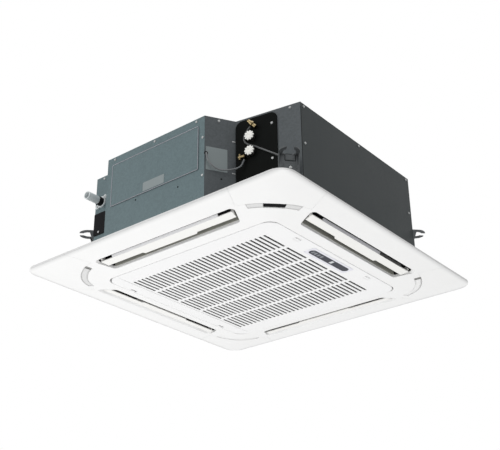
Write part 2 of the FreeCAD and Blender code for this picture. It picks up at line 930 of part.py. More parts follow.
def air_filter():
    half = (slot_columns * slot_pitch) / 2
    base = door_face + door_skin + rib_height
    wires = [square(half, 4.0, base)]
    clear = 2 * (half - filter_frame_width)
    cells = filter_bars + 1
    cell = (clear - filter_bars * filter_bar_width) / cells
    for i in range(cells):
        for j in range(cells):
            x = -half + filter_frame_width + i * (cell + filter_bar_width)
            y = -half + filter_frame_width + j * (cell + filter_bar_width)
            wires.append(rectangle(x, x + cell, y, y + cell, 0.0, base))
    net = Part.makeFace(wires, "Part::FaceMakerBullseye").extrude(Vector(0, 0, filter_net))
    frame = prism(square(half, 4.0, base), filter_height)
    inner = half - filter_frame_width
    frame = frame.cut(prism(square(inner, 0.0, base - 1), filter_height + 2))
    grid = joined([net, frame])
    grid.translate(Vector(slot_shift, 0, 0))
    return grid


# Sheet-metal walls: each plate is one bent strip of the plan
def strip(plan, first, last, z0, z1):
    inner = inset(plan, sheet)
    count = len(plan)
    span = [(first + i) % count for i in range((last - first) % count + 1)]
    points = [plan[i] for i in span] + [inner[i] for i in reversed(span)]
    return prism(outline(points, 0.0, z0), z1 - z0)


def wall_plate(start, end):
    low = strip(lower_plan, lower_plan.index(start), lower_plan.index(end), cabinet_bottom, notch_floor)
    high = strip(upper_plan, upper_plan.index(start), upper_plan.index(end), notch_floor, cabinet_top)
    return joined([low, high])


def front_plate():
    start = left_corner[1]
    first, last = lower_plan.index(start), lower_plan.index(near_corner[2])
    low = strip(lower_plan, first, last, cabinet_bottom, notch_floor)
    high = strip(upper_plan, upper_plan.index(start), upper_plan.index(notch[0]), notch_floor, cabinet_top)
    plate = joined([low, high])
    return plate.cut(placed(rod(spigot_radius + pipe_fit, Vector(spigot_x, spigot_z, -20),
                                Vector(spigot_x, spigot_z, 20)), drain_face))


def right_plate():
    end = right_corner[1]
    first, last = lower_plan.index(near_corner[2]), lower_plan.index(end)
    low = strip(lower_plan, first, last, cabinet_bottom, notch_floor)
    high = strip(upper_plan, upper_plan.index(notch[2]), upper_plan.index(end), notch_floor, cabinet_top)
    return joined([low, high])


def pipe_holes(radius, low, high):
    return [placed(rod(radius, Vector(pipe_s, z, low), Vector(pipe_s, z, high)), pipe_face)
            for z in (return_z, supply_z)]


def pipe_plate():
    wall = strip(upper_plan, 0, 2, notch_floor, cabinet_top)
    floor = prism(outline([notch[0]] + near_corner + [notch[2], notch[1]], 0.0, notch_floor), sheet)
    plate = joined([wall, floor])
    return plate.cut(Part.makeCompound(pipe_holes(pipe_radius + pipe_fit, -20, 20)))


def top_plate():
    outer = inset(upper_plan, sheet + top_fit)
    inner = inset(upper_plan, 2 * sheet + top_fit)
    lid = prism(outline(outer, 0.0, cabinet_top - sheet), sheet)
    skirt = prism(outline(outer, 0.0, cabinet_top - top_flange), top_flange)
    skirt = skirt.cut(prism(outline(inner, 0.0, cabinet_top - top_flange - 1), top_flange + 2))
    pieces = [lid, skirt]
    for k in range(4):
        bead = prism(rectangle(bead_start, bead_start + bead_length, -bead_width / 2, bead_width / 2,
                               bead_width / 2 - 0.01, cabinet_top - sheet), sheet + bead_height)
        pieces.append(turned(bead, 90 * k))
    ring = Part.makeCylinder(motor_flange_radius + bead_width, bead_height + sheet,
                             Vector(0, 0, cabinet_top - sheet))
    pieces.append(ring)
    return joined(pieces)


def access_cover():
    base = rectangle(access_left, access_right, access_low, access_high, 0.0, 0.0)
    crest = rectangle(access_left + access_bevel, access_right - access_bevel, access_low + access_bevel,
                      access_high - access_bevel, 0.0, access_height)
    return placed(Part.makeLoft([base, crest], True, True), front_face)


def insulation_liner():
    low = pan_top
    height = cabinet_top - top_flange - low
    wall = prism(outline(inset(upper_plan, sheet), 0.0, low), height)
    wall = wall.cut(prism(outline(inset(upper_plan, sheet + liner_thickness), 0.0, low - 1), height + 2))
    holes = pipe_holes(pipe_radius + pipe_fit, -60, 20)
    holes.append(placed(rod(spigot_radius + pipe_fit, Vector(spigot_x, spigot_z, -30),
                            Vector(spigot_x, spigot_z, 20)), drain_face))
    return wall.cut(Part.makeCompound(holes))


# A hanger bracket: plate on the corner face and an open lug bent outwards
def hanger_bracket(start, end):
    half = bracket_width / 2
    centre = ((start[0] + end[0]) / 2, (start[1] + end[1]) / 2)
    frame = face_frame(centre, (centre[0] + end[0] - start[0], centre[1] + end[1] - start[1]))
    plate = block(-half, half, bracket_low, bracket_top, 0, bracket_thickness)
    round_at = lug_reach - half
    low = bracket_top - bracket_thickness
    lug = block(-half, half, low, bracket_top, 0, round_at)
    lug = lug.fuse(rod(half, Vector(0, low, round_at), Vector(0, bracket_top, round_at)))
    slot_half = lug_slot_width / 2
    slot = block(-slot_half, slot_half, low - 1, bracket_top + 1, lug_root, round_at)
    slot = slot.fuse(rod(slot_half, Vector(0, low - 1, round_at), Vector(0, bracket_top + 1, round_at)))
    mouth = block(-lug_mouth / 2, lug_mouth / 2, low - 1, bracket_top + 1, round_at, lug_reach + 1)
    lug = lug.cut(slot.fuse(mouth)).common(block(-half, half, low, bracket_top, 0, lug_reach))
    tab_top = bracket_top - tab_drop
    tab = block(-tab_half, tab_half, tab_top - tab_height, tab_top, 0, bracket_thickness + tab_thickness)
    bolt_length = bracket_thickness + 2 * tab_thickness
    bolt = hexagon(screw_radius + 1, bolt_length, Vector(0, tab_top - 2 * tab_height, 0))
    pieces = [plate, lug, tab, bolt]
    for side in (-1, 1):
        x = side * half - (bracket_thickness if side > 0 else 0)
        points = [Vector(x, low + 0.5, bracket_thickness - 0.5), Vector(x, low + 0.5, gusset_reach),
                  Vector(x, low - gusset_drop, bracket_thickness - 0.5)]
        web = Part.Face(Part.makePolygon(points + points[:1])).extrude(Vector(bracket_thickness, 0, 0))
        pieces.append(web)
    return placed(joined(pieces), frame)


# Hexagon screw heads on the cabinet's faces
def cabinet_screws():
    edge = cabinet_top - screw_edge
    low = bracket_top + screw_above_bracket
    side = shelf_half - hanger_leg - screw_margin
    near = -cabinet_half + notch_right_setback + screw_margin
    front = front_half - 2 * screw_margin
    corner = notch_x - screw_radius - 3
    seal_s = seal_plate_end - screw_margin
    places = [(front_face, 0, [(-front, edge), (screw_front_s, edge), (notch_x - 2 * screw_margin, edge),
                               (corner, return_z), (corner, notch_floor + screw_front_rise)]),
              (cable_face, 0, [(screw_cable_s, edge)]),
              (pipe_face, 0, [(seal_plate_end + screw_pipe_margin, edge)]),
              (pipe_face, seal_plate_thickness, [(seal_s, seal_plate_top - screw_seal_drop),
                                                 (seal_s, low - screw_seal_low)]),
              (right_face, 0, [(near, edge), (screw_right_s, edge), (side, edge), (near, low), (side, low)]),
              (rear_face, 0, [(-front, edge), (0, edge), (front, edge), (-front, low), (front, low)]),
              (left_face, 0, [(-side, edge), (0, edge), (side, edge), (-side, low), (side, low)]),
              (drain_face, 0, [(spigot_x + 6, edge)]),
              (drain_face, pump_cover_thickness, [(spigot_x + pump_cover_shift, pump_cover_low + 8)]),
              (drain_face, flange_thickness, [(spigot_x + flange_ear_x, spigot_z + flange_ear_z),
                                              (spigot_x - flange_ear_x, spigot_z - flange_ear_z)])]
    heads = []
    for frame, seat, points in places:
        heads += [placed(hexagon(screw_radius, screw_head, Vector(s, z, seat)), frame) for s, z in points]
    return Part.makeCompound(heads)


# Drain corner
def flange_shape(low, thickness):
    centre = Vector(spigot_x, spigot_z, low)
    pieces = [Part.makeCylinder(flange_hub, thickness, centre)]
    reach = math.hypot(flange_ear_x, flange_ear_z)
    tilt = math.degrees(math.atan2(flange_ear_z, flange_ear_x))
    bar = block(-reach, reach, -flange_ear, flange_ear, 0, thickness)
    bar.rotate(origin, upward, tilt)
    bar.translate(centre)
    pieces.append(bar)
    for side in (-1, 1):
        ear = centre + Vector(side * flange_ear_x, side * flange_ear_z, 0)
        pieces.append(Part.makeCylinder(flange_ear, thickness, ear))
    return joined(pieces)


def drain_spigot():
    low = Vector(spigot_x, spigot_z, -spigot_inside)
    high = Vector(spigot_x, spigot_z, spigot_length)
    body = joined([flange_shape(0, flange_thickness), rod(spigot_radius, low, high)])
    return placed(body.cut(rod(spigot_bore, low - upward, high + upward)), drain_face)


def pump_cover():
    wire = rectangle(pump_cover_left, pump_cover_right, pump_cover_low, pump_cover_high, 3.0)
    return placed(prism(wire, pump_cover_thickness), drain_face)


# Pipe recess
def pipe_seal_plate():
    low = notch_floor + sheet
    points = [(seal_plate_start, low), (seal_plate_end, low), (seal_plate_end, seal_plate_top),
              (seal_plate_start, seal_plate_top)]
    sharp = prism(outline(points, 0.0), seal_plate_thickness)
    soft = prism(rectangle(seal_plate_start, seal_plate_end, low - 2 * seal_plate_corner, seal_plate_top,
                           seal_plate_corner), seal_plate_thickness)
    plate = placed(sharp.common(soft), pipe_face)
    return plate.cut(Part.makeCompound(pipe_holes(pipe_radius + pipe_fit, -1, 20)))


def pipe_connection(z):
    inside = -header_depth + header_radius + header_gap
    low = Vector(pipe_s, z, inside)
    high = Vector(pipe_s, z, pipe_outside)
    body = rod(pipe_radius, low, high)
    collar = hexagon(collar_hex, collar_hex_length, Vector(pipe_s, z, seal_plate_thickness))
    return placed(joined([body, collar]).cut(rod(pipe_bore, low - upward, high + upward)), pipe_face)


def pipe_cap(z):
    centre = Vector(pipe_s, z, cap_start)
    lobes = [Part.makeCylinder(cap_radius, cap_length, centre)]
    for i in range(cap_lobes):
        a = 2 * math.pi * i / cap_lobes
        reach = cap_radius - cap_lobe_radius / 2
        lobes.append(Part.makeCylinder(cap_lobe_radius, cap_length,
                                       centre + Vector(reach * math.cos(a), reach * math.sin(a), 0)))
    depth = pipe_outside - cap_start + cap_fit
    bore = Part.makeCylinder(pipe_radius + cap_fit, depth + 1, centre - upward)
    return placed(joined(lobes).cut(bore), pipe_face)


# The coil is an open square of finned blocks with rounded corners
def coil_block(skin):
    low = coil_low + skin
    height = coil_height - 2 * skin
    ring = prism(square(coil_outer - skin, coil_corner - skin, low), height)
    ring = ring.cut(prism(square(coil_inner + skin, coil_corner - coil_depth + skin, low), height))
    opening = block(coil_front_end - skin, cabinet_half, -cabinet_half, coil_right_end + skin, 0, cabinet_top)
    return ring.cut(opening)


def coil_fins():
    return coil_block(0).cut(coil_block(coil_skin))


def header(low, high, feeds, end):
    foot = pipe_face.multVec(Vector(pipe_s, low, -header_depth))
    head = Vector(foot.x, foot.y, high)
    pipe = rod(header_radius, foot, head)
    pieces = [pipe]
    for z in feeds:
        pieces.append(rod(feeder_radius, Vector(foot.x, foot.y, z), Vector(end[0], end[1], z)))
    return joined(pieces).cut(coil_block(0))


def return_header():
    middle = (coil_outer + coil_inner) / 2
    feeds = [return_header_low + feeder_margin + return_feeder_pitch * i for i in range(3)]
    return header(return_header_low, return_header_high, feeds, (coil_front_end - 4, -middle))


def supply_header():
    middle = (coil_outer + coil_inner) / 2
    feeds = [supply_header_low + feeder_margin + supply_feeder_pitch * i for i in range(3)]
    return header(supply_header_low, supply_header_high, feeds, (middle, coil_right_end + 4))


def air_vent():
    a = math.radians(vent_tilt)
    along = Vector(math.cos(a), math.sin(a), 0)
    centre = Vector(vent_s, vent_z, vent_reach)
    body = rod(vent_radius, centre - along * vent_half_length, centre + along * vent_half_length)
    nut = rod(vent_hex, centre - along * 4, centre + along * 4)
    stem = rod(vent_radius, Vector(vent_s, vent_z, seal_plate_thickness), centre)
    return placed(joined([body, nut, stem]), pipe_face)


def drain_valve():
    centre = Vector(valve_s, valve_z, valve_reach)
    stem = rod(valve_radius, Vector(valve_s, valve_z, seal_plate_thickness), centre)
    body = rod(valve_radius, centre - Vector(valve_length / 2, 0, 0), centre + Vector(valve_radius, 0, 0))
    return placed(joined([stem, body]), pipe_face)


def drain_valve_handle():
    face = valve_s - valve_length / 2 - handle_fit
    centre = Vector(face - handle_radius, valve_z, valve_reach)
    end = face - 2 * handle_radius
    hub = rod(handle_hub, Vector(face, valve_z, valve_reach), Vector(end, valve_z, valve_reach))
    bar = rod(handle_radius, centre - Vector(0, handle_half, 0), centre + Vector(0, handle_half, 0))
    return placed(joined([hub, bar]), pipe_face)


# A tube along straight runs joined by arcs as large as the runs allow
def tube(points, radius, name):
    edges = []
    radii = []
    last = points[0]
    for i in range(1, len(points) - 1):
        back = points[i - 1] - points[i]
        ahead = points[i + 1] - points[i]
        shorter = min(back.Length, ahead.Length)
        back.normalize()
        ahead.normalize()
        half = math.acos(back.dot(ahead)) / 2
        reach = 0.45 * shorter
        bend = reach * math.tan(half)
        start = points[i] + back * reach
        end = points[i] + ahead * reach
        middle = points[i] + (back + ahead).normalize() * (bend / math.sin(half) - bend)
        edges.append(Part.LineSegment(last, start).toShape())
        edges.append(Part.Arc(start, middle, end).toShape())
        radii.append(round(bend, 1))
        last = end
    edges.append(Part.LineSegment(last, points[-1]).toShape())
    path = Part.Wire(edges)
    ring = Part.Wire(Part.makeCircle(radius, points[0], points[1] - points[0]))
    solid = path.makePipeShell([ring], True, False)
    expected = math.pi * radius ** 2 * path.Length
    ratio = round(solid.Volume / expected, 4)
    print(name, "radii", radii, "length", round(path.Length, 1), "volume ratio", ratio)
    return solid


# The cable hangs across the cable face and turns into the pipe recess.
# Each point is given along the face, up from the supply pipe and out from the face.
def cable_loop():
    across = [(4.0, -4.0, 3.0), (5.0, -20.0, 6.0), (13.0, -37.0, 8.0), (27.0, -50.0, 9.0), (45.0, -55.0, 9.5)]
    inside = [(8.0, -51.0, 22.0), (22.0, -42.0, 13.0), (28.0, -31.0, 11.0), (31.0, -20.2, 10.0)]
    points = [cable_face.multVec(Vector(s, supply_z + rise, p)) for s, rise, p in across]
    points += [pipe_face.multVec(Vector(s, supply_z + rise, p)) for s, rise, p in inside]
    return tube(points, cable_radius, "cable_loop")


# The hose runs from the air vent down between the pipes, its points up from the return pipe
def vent_hose():
    route = [(50.9, 30.4, 10.0), (41.0, 23.0, 7.0), (31.5, 12.5, 6.2), (27.8, -1.0, 6.0), (32.0, -13.5, 6.0),
             (44.5, -23.5, 6.0), (66.0, -35.0, 6.0), (160.0, -101.0, 6.0)]
    points = [pipe_face.multVec(Vector(s, return_z + rise, p)) for s, rise, p in route]
    return tube(points, hose_radius, "vent_hose")


# Drain pan with the four air ducts and the channel under the coil
def drain_pan():
    pan = prism(outline(inset(lower_plan, sheet), 0.0, cabinet_bottom), pan_height)
    cuts = [prism(square(pan_opening / 2, pan_opening_radius, 0), cabinet_top)]
    for k in range(4):
        slot = block(-duct_half, duct_half, -duct_outer, -duct_inner, 0, cabinet_top)
        cuts.append(turned(slot, 90 * k))
    channel = prism(square(coil_outer + 3, coil_corner, pan_floor), pan_height)
    channel = channel.cut(prism(square(coil_inner - 3, coil_corner - coil_depth, 0), cabinet_top))
    well = Part.makeCylinder(pump_radius + 6, pan_height, Vector(spigot_x, pump_y, pan_floor))
    switch = Part.makeCylinder(float_radius + 5, pan_height, Vector(float_x, float_y, pan_floor))
    cuts += [channel, well, switch]
    for x, y in panel_screw_places():
        cuts.append(rod(panel_screw_radius + panel_screw_fit, Vector(x, y, 0), Vector(x, y, pan_floor - 4)))
    return pan.cut(Part.makeCompound(cuts))


def bell_mouth():
    high = cabinet_bottom
    low = cabinet_bottom - mouth_plate
    plate = prism(square(mouth_plate_size / 2, mouth_plate_corner, low), mouth_plate)
    plate = plate.cut(Part.makeCylinder(mouth_radius + mouth_flare, 20, Vector(0, 0, low - 1)))
    wide = mouth_radius + mouth_flare
    top = low + mouth_height
    bend = mouth_radius + mouth_flare * mouth_bend
    neck = low + mouth_height * mouth_neck
    funnel = revolved([(wide + 2, low), (bend, neck), (mouth_radius, top), (mouth_radius + mouth_plate, top),
                       (bend + mouth_plate, neck), (wide + 2, high)])
    return joined([plate, funnel])


# Backward-curved fan: dished back plate, blades and a flared shroud
def fan_blade():
    a = math.radians(blade_sweep)
    tip = fan_radius - 2
    start = Vector(blade_inner, 0, 0)
    end = Vector(tip * math.cos(a), -tip * math.sin(a), 0)
    middle = (start + end) * 0.5
    normal = (end - start).cross(upward).normalize()
    side = normal * ((end - start).Length * blade_camber)
    across = normal * (blade_thickness / 2)
    outer = [start + across, middle + side + across, end + across * 0.5]
    inner = [start - across, middle + side - across, end - across * 0.5]
    edges = [Part.Arc(*outer).toShape(), Part.LineSegment(outer[2], inner[2]).toShape(),
             Part.Arc(inner[2], inner[1], inner[0]).toShape(), Part.LineSegment(inner[0], outer[0]).toShape()]
    wire = Part.Wire(edges)
    wire.translate(Vector(0, 0, fan_low))
    return prism(wire, fan_hub_z + 1 - fan_low)


def fan_wheel():
    back = fan_hub_z
    floor = back - dish_depth
    lower = [(boss_radius, floor), (dish_floor_radius, floor), (dish_radius, back), (fan_radius, back)]
    upper = [(fan_radius, back + fan_plate), (dish_radius - 1.5, back + fan_plate),
             (dish_floor_radius - 1.5, floor + fan_plate), (boss_radius, floor + fan_plate)]
    bore = shaft_radius + hub_fit
    boss_low = floor - boss_drop
    boss_high = floor + boss_rise
    hub = revolved([(bore, boss_low), (boss_radius, boss_low)] + lower + upper
                   + [(boss_radius, boss_high), (bore, boss_high)])
    flare_top = fan_low + shroud_rise
    throat = fan_inlet_radius
    neck = (throat + shroud_neck, fan_low + shroud_neck_height)
    lower = [(throat, fan_low), neck, (fan_radius, flare_top)]
    upper = [(fan_radius, flare_top + fan_plate), (neck[0] - fan_plate, neck[1] + fan_plate),
             (throat - fan_plate, fan_low)]
    shroud = revolved(lower + upper)
    under = fan_low - blade_clear
    outside = revolved(lower + [(fan_radius + 5, flare_top), (fan_radius + 5, under), (throat, under)])
    rim = Part.makeCylinder(throat - fan_plate, fan_overlap + 2 * blade_clear, Vector(0, 0, under))
    outside = outside.fuse(rim)
    blades = [turned(fan_blade().cut(outside), 360 * i / fan_blades) for i in range(fan_blades)]
    return joined([hub, shroud] + blades)


def motor_shaft():
    low = fan_hub_z - dish_depth - boss_drop - nut_height - 2
    return Part.makeCylinder(shaft_radius, motor_low + motor_height / 2 - low, Vector(0, 0, low))


def fan_nut():
    high = fan_hub_z - dish_depth - boss_drop
    nut = hexagon(nut_radius, nut_height, Vector(0, 0, high - nut_height))
    return nut.cut(Part.makeCylinder(shaft_radius + hub_fit, 40, Vector(0, 0, high - 20)))


def fan_motor():
    high = motor_low + motor_height
    bore = shaft_radius + shaft_fit
    depth = motor_low + motor_height / 2 + 1
    nose = motor_low - motor_nose
    return revolved([(bore, nose), (motor_nose_radius, nose), (motor_nose_radius, motor_low),
                     (motor_radius - motor_edge, motor_low), (motor_radius, motor_low + motor_edge),
                     (motor_radius, high - motor_flange),
                     (motor_flange_radius, high - motor_flange), (motor_flange_radius, high), (0, high),
                     (0, depth), (bore, depth)])


def motor_mounts():
    low = motor_low + motor_height
    high = cabinet_top - sheet
    mounts = []
    for i in range(4):
        a = math.radians(45 + 90 * i)
        mounts.append(Part.makeCylinder(mount_radius, high - low,
                                        Vector(mount_ring * math.cos(a), mount_ring * math.sin(a), low)))
    return Part.makeCompound(mounts)


# Drain pump standing in the pan, with its outlet led to the spigot
def drain_pump():
    foot = Vector(spigot_x, pump_y, pan_floor + pump_seat_gap)
    seat = Vector(spigot_x, pump_y, pump_low + 1)
    bend = Vector(spigot_x, pump_y, spigot_z)
    nozzle = Vector(spigot_x, -shelf_half + spigot_inside + pump_seat_gap, spigot_z)
    pieces = [rod(strainer_radius, foot, seat),
              rod(pump_radius, Vector(spigot_x, pump_y, pump_low), Vector(spigot_x, pump_y, pump_high)),
              rod(outlet_tube_radius, Vector(spigot_x, pump_y, pump_high - 1), bend),
              Part.makeSphere(outlet_tube_radius, bend), rod(outlet_tube_radius, bend, nozzle)]
    return joined(pieces)


def float_switch():
    foot = Vector(float_x, float_y, pan_floor + pump_seat_gap)
    head = Vector(float_x, float_y, arm_z + arm_height)
    stem = rod(rod_radius, foot, head)
    stop = rod(stop_radius, foot, foot + upward * stop_height)
    to_pump = Vector(spigot_x - float_x, pump_y - float_y, 0)
    reach = to_pump.Length - strainer_radius - pump_seat_gap
    arm = block(-4, reach, -arm_width / 2, arm_width / 2, 0, arm_height)
    arm.rotate(origin, upward, math.degrees(math.atan2(to_pump.y, to_pump.x)))
    arm.translate(Vector(float_x, float_y, arm_z))
    return joined([stem, stop, arm])


def float_ball():
    low = Vector(float_x, float_y, pan_floor + pump_seat_gap + stop_height + pump_seat_gap)
    body = rod(float_radius, low, low + upward * float_height)
    return body.cut(rod(rod_radius + float_fit, low - upward, low + upward * (float_height + 1)))


# Control box under the bell mouth's plate
def control_box():
    high = cabinet_bottom - mouth_plate
    x = box_length / 2
    y0 = -box_offset - box_width / 2
    y1 = -box_offset + box_width / 2
    shell = block(-x, x, y0, y1, high - box_height, high)
    return shell.cut(block(-x + box_wall, x - box_wall, y0 + box_wall, y1 - box_wall,
                           high - box_height + box_wall, high + 1))


def circuit_board():
    floor = cabinet_bottom - mouth_plate - box_height + box_wall
    x = box_length / 2 - board_margin
    y0 = -box_offset - box_width / 2 + board_margin
    y1 = -box_offset + box_width / 2 - board_margin
    board = block(-x, x, y0, y1, floor + board_lift, floor + board_lift + board_thickness)
    posts = [block(px - 3, px + 3, py - 3, py + 3, floor, floor + board_lift + 0.5)
             for px in (-x + 6, x - 6) for py in (y0 + 6, y1 - 6)]
    terminals = block(x - 70, x - 10, y0 + 6, y0 + 24, floor + board_lift, floor + board_lift + 9)
    return joined([board, terminals] + posts)


def build():
    parts = {"panel_frame": panel_frame()}
    for k, place in enumerate(("right", "far", "left", "near")):
        parts["corner_cover_" + place] = corner_cover(k)
    for k, place in enumerate(("front", "right", "rear", "left")):
        parts["flap_" + place] = flap(k)
        parts["swing_motor_" + place] = turned(swing_motor(), 90 * k)
    parts["panel_seal"] = panel_seal()
    parts["dark_linings"] = dark_linings()
    parts["intake_grille"] = intake_grille()
    parts["grille_hinge_pins"] = grille_hinge_pins()
    parts["grille_latch_front"] = grille_latch(-latch_offset)
    parts["grille_latch_rear"] = grille_latch(latch_offset)
    parts["display_housing"] = display_housing()
    parts["display_window"] = window_solid(0)
    parts["air_filter"] = air_filter()
    parts["front_plate"] = front_plate()
    parts["right_plate"] = right_plate()
    parts["rear_plate"] = wall_plate(right_corner[1], far_corner[2])
    parts["left_plate"] = wall_plate(far_corner[2], left_corner[1])
    parts["pipe_plate"] = pipe_plate()
    parts["top_plate"] = top_plate()
    parts["access_cover"] = access_cover()
    parts["insulation_liner"] = insulation_liner()
    for place, corner in (("near", near_corner), ("right", right_corner[::-1]),
                          ("far", far_corner), ("left", left_corner[::-1])):
        ends = (corner[2], corner[3])
        if place in ("right", "left"):
            ends = (corner[3], corner[2])
        parts["hanger_bracket_" + place] = hanger_bracket(*ends)
    parts["fixing_screws"] = Part.makeCompound([cabinet_screws(), panel_screws()])
    parts["drain_spigot"] = drain_spigot()
    parts["pump_cover"] = pump_cover()
    parts["pipe_seal_plate"] = pipe_seal_plate()
    parts["return_connection"] = pipe_connection(return_z)
    parts["supply_connection"] = pipe_connection(supply_z)
    parts["return_cap"] = pipe_cap(return_z)
    parts["supply_cap"] = pipe_cap(supply_z)
    parts["brass_valves"] = Part.makeCompound([air_vent(), drain_valve()])
    parts["drain_valve_handle"] = drain_valve_handle()
    parts["cable_loop"] = cable_loop()
    parts["vent_hose"] = vent_hose()
    parts["coil_fins"] = coil_fins()
    parts["coil_headers"] = Part.makeCompound([return_header(), supply_header()])
    parts["drain_pan"] = drain_pan()
    parts["bell_mouth"] = bell_mouth()
    parts["fan_wheel"] = fan_wheel()
    parts["motor_shaft"] = motor_shaft()
    parts["fan_nut"] = fan_nut()
    parts["fan_motor"] = fan_motor()
    parts["motor_mounts"] = motor_mounts()
    parts["drain_pump"] = drain_pump()
    parts["float_switch"] = float_switch()
    parts["float_ball"] = float_ball()
    parts["control_box"] = control_box()
    parts["circuit_board"] = circuit_board()
    return parts


os.makedirs("parts", exist_ok=True)
for node, shape in build().items():
    shape.exportStep("parts/" + node + ".step")
    print(node, len(shape.Solids), round(shape.Volume / 1000, 1), shape.isValid())
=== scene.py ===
import json
import math
import bmesh
import bpy
import numpy as np
from mathutils import Matrix, Vector


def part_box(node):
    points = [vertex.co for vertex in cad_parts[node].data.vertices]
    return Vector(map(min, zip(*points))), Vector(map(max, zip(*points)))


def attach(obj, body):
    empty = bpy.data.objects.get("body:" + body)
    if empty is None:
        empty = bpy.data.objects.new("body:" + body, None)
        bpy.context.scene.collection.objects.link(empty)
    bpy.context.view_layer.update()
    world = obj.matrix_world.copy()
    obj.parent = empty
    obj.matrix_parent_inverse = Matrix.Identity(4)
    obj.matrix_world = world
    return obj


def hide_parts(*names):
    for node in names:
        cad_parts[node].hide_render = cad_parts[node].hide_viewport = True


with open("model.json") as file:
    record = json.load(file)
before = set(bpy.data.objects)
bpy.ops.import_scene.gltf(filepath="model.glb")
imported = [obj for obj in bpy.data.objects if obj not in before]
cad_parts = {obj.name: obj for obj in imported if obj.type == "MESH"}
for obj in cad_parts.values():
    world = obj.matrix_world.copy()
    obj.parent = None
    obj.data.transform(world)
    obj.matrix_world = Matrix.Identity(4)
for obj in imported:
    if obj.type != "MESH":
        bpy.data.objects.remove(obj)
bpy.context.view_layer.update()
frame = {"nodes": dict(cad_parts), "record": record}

nodes = frame["nodes"]
print("frame loaded:", len(nodes), "nodes")


# The frame of an upright face: x runs from start towards end, y is up, and z points out of the sheet
def uprightFace(start, end):
    along = Vector((end[0] - start[0], end[1] - start[1], 0.0)).normalized()
    out = along.cross(Vector((0.0, 0.0, 1.0)))
    return Matrix(((along.x, 0.0, out.x, start[0]), (along.y, 0.0, out.y, start[1]),
                   (0.0, 1.0, 0.0, 0.0), (0.0, 0.0, 0.0, 1.0)))


# The cabinet's outline, and the heights of its two water connections
cabinet = dict(half=0.388, shelf=0.329, recessStart=(0.146, -0.388), recessApex=(0.191, -0.309),
               recessEnd=(0.388, -0.275), pipeLevels={"return": 0.246, "supply": 0.199})
faces = {
    "front": uprightFace((0.0, -cabinet["half"]), (1.0, -cabinet["half"])),
    "right": uprightFace((cabinet["half"], 0.0), (cabinet["half"], 1.0)),
    "rear": uprightFace((0.0, cabinet["half"]), (-1.0, cabinet["half"])),
    "left": uprightFace((-cabinet["half"], 0.0), (-cabinet["half"], -1.0)),
    "drain": uprightFace((0.0, -cabinet["shelf"]), (1.0, -cabinet["shelf"])),
    "cable": uprightFace(cabinet["recessStart"], cabinet["recessApex"]),
    "pipe": uprightFace(cabinet["recessApex"], cabinet["recessEnd"]),
}


# One socket of a shader, with arithmetic on it
class Field:
    def __init__(self, tree, socket):
        self.tree = tree
        self.socket = socket

    def node(self, kind, settings=None, inputs=None, output=0):
        made = self.tree.nodes.new("ShaderNode" + kind)
        for key, value in (settings or {}).items():
            setattr(made, key, value)
        for key, value in (inputs or {}).items():
            if isinstance(value, Field):
                self.tree.links.new(value.socket, made.inputs[key])
            else:
                made.inputs[key].default_value = value
        return Field(self.tree, made.outputs[output])

    def math(self, operation, first, second=0.0):
        return self.node("Math", {"operation": operation}, {0: first, 1: second})

    def __add__(self, other):
        return self.math("ADD", self, other)

    def __radd__(self, other):
        return self.math("ADD", other, self)

    def __sub__(self, other):
        return self.math("SUBTRACT", self, other)

    def __rsub__(self, other):
        return self.math("SUBTRACT", other, self)

    def __mul__(self, other):
        return self.math("MULTIPLY", self, other)

    def __rmul__(self, other):
        return self.math("MULTIPLY", other, self)

    def __gt__(self, other):
        return self.math("GREATER_THAN", self, other)

    def fraction(self):
        return self.math("FRACT", self)

    def size(self):
        return self.math("ABSOLUTE", self)

    def larger(self, other):
        return self.math("MAXIMUM", self, other)


# A principled finish: constants go on its sockets, fields are fed to them
class Finish:
    def __init__(self, name, **constants):
        self.material = bpy.data.materials.new(name)
        self.material.use_nodes = True
        tree = self.material.node_tree
        self.shader = tree.nodes["Principled BSDF"]
        for key, value in constants.items():
            self.shader.inputs[key.replace("_", " ")].default_value = value
        self.place = Field(tree, tree.nodes.new("ShaderNodeTexCoord").outputs["Object"])

    def feed(self, socket, field):
        field.tree.links.new(field.socket, self.shader.inputs[socket])

    def noise(self, scale, detail, stretch=(1.0, 1.0, 1.0)):
        place = self.place.node("Mapping", None, {"Vector": self.place, "Scale": stretch})
        return self.place.node("TexNoise", None, {"Vector": place, "Scale": scale, "Detail": detail})

    def cells(self, scale, output="Color"):
        return self.place.node("TexVoronoi", None, {"Vector": self.place, "Scale": scale}, output)

    def mix(self, mask, low, high):
        return self.place.node("Mix", {"data_type": "RGBA"}, {0: mask, 6: low, 7: high}, 2)

    def axis(self, letter):
        return self.place.node("SeparateXYZ", None, {0: self.place}, letter)

    # How far a point stands from the unit's middle line, along x or y
    def reach(self):
        return self.axis("X").size().larger(self.axis("Y").size())

    # How far a point stands out from one of the cabinet's upright faces
    def outFrom(self, face):
        out, start = faces[face].col[2], faces[face].col[3]
        return self.axis("X") * out.x + self.axis("Y") * out.y - out.dot(start)

    def bump(self, height, distance, strength, edge=0.0):
        inputs = {"Strength": strength, "Distance": distance, "Height": height}
        if edge:
            inputs["Normal"] = self.place.node("Bevel", {"samples": 4}, {"Radius": edge})
        self.feed("Normal", self.place.node("Bump", None, inputs))


# A colour made lighter or darker, with the alpha that a colour socket takes
def shade(colour, factor=1.0):
    return tuple(min(1.0, c * factor) for c in colour[:3]) + (1.0,)


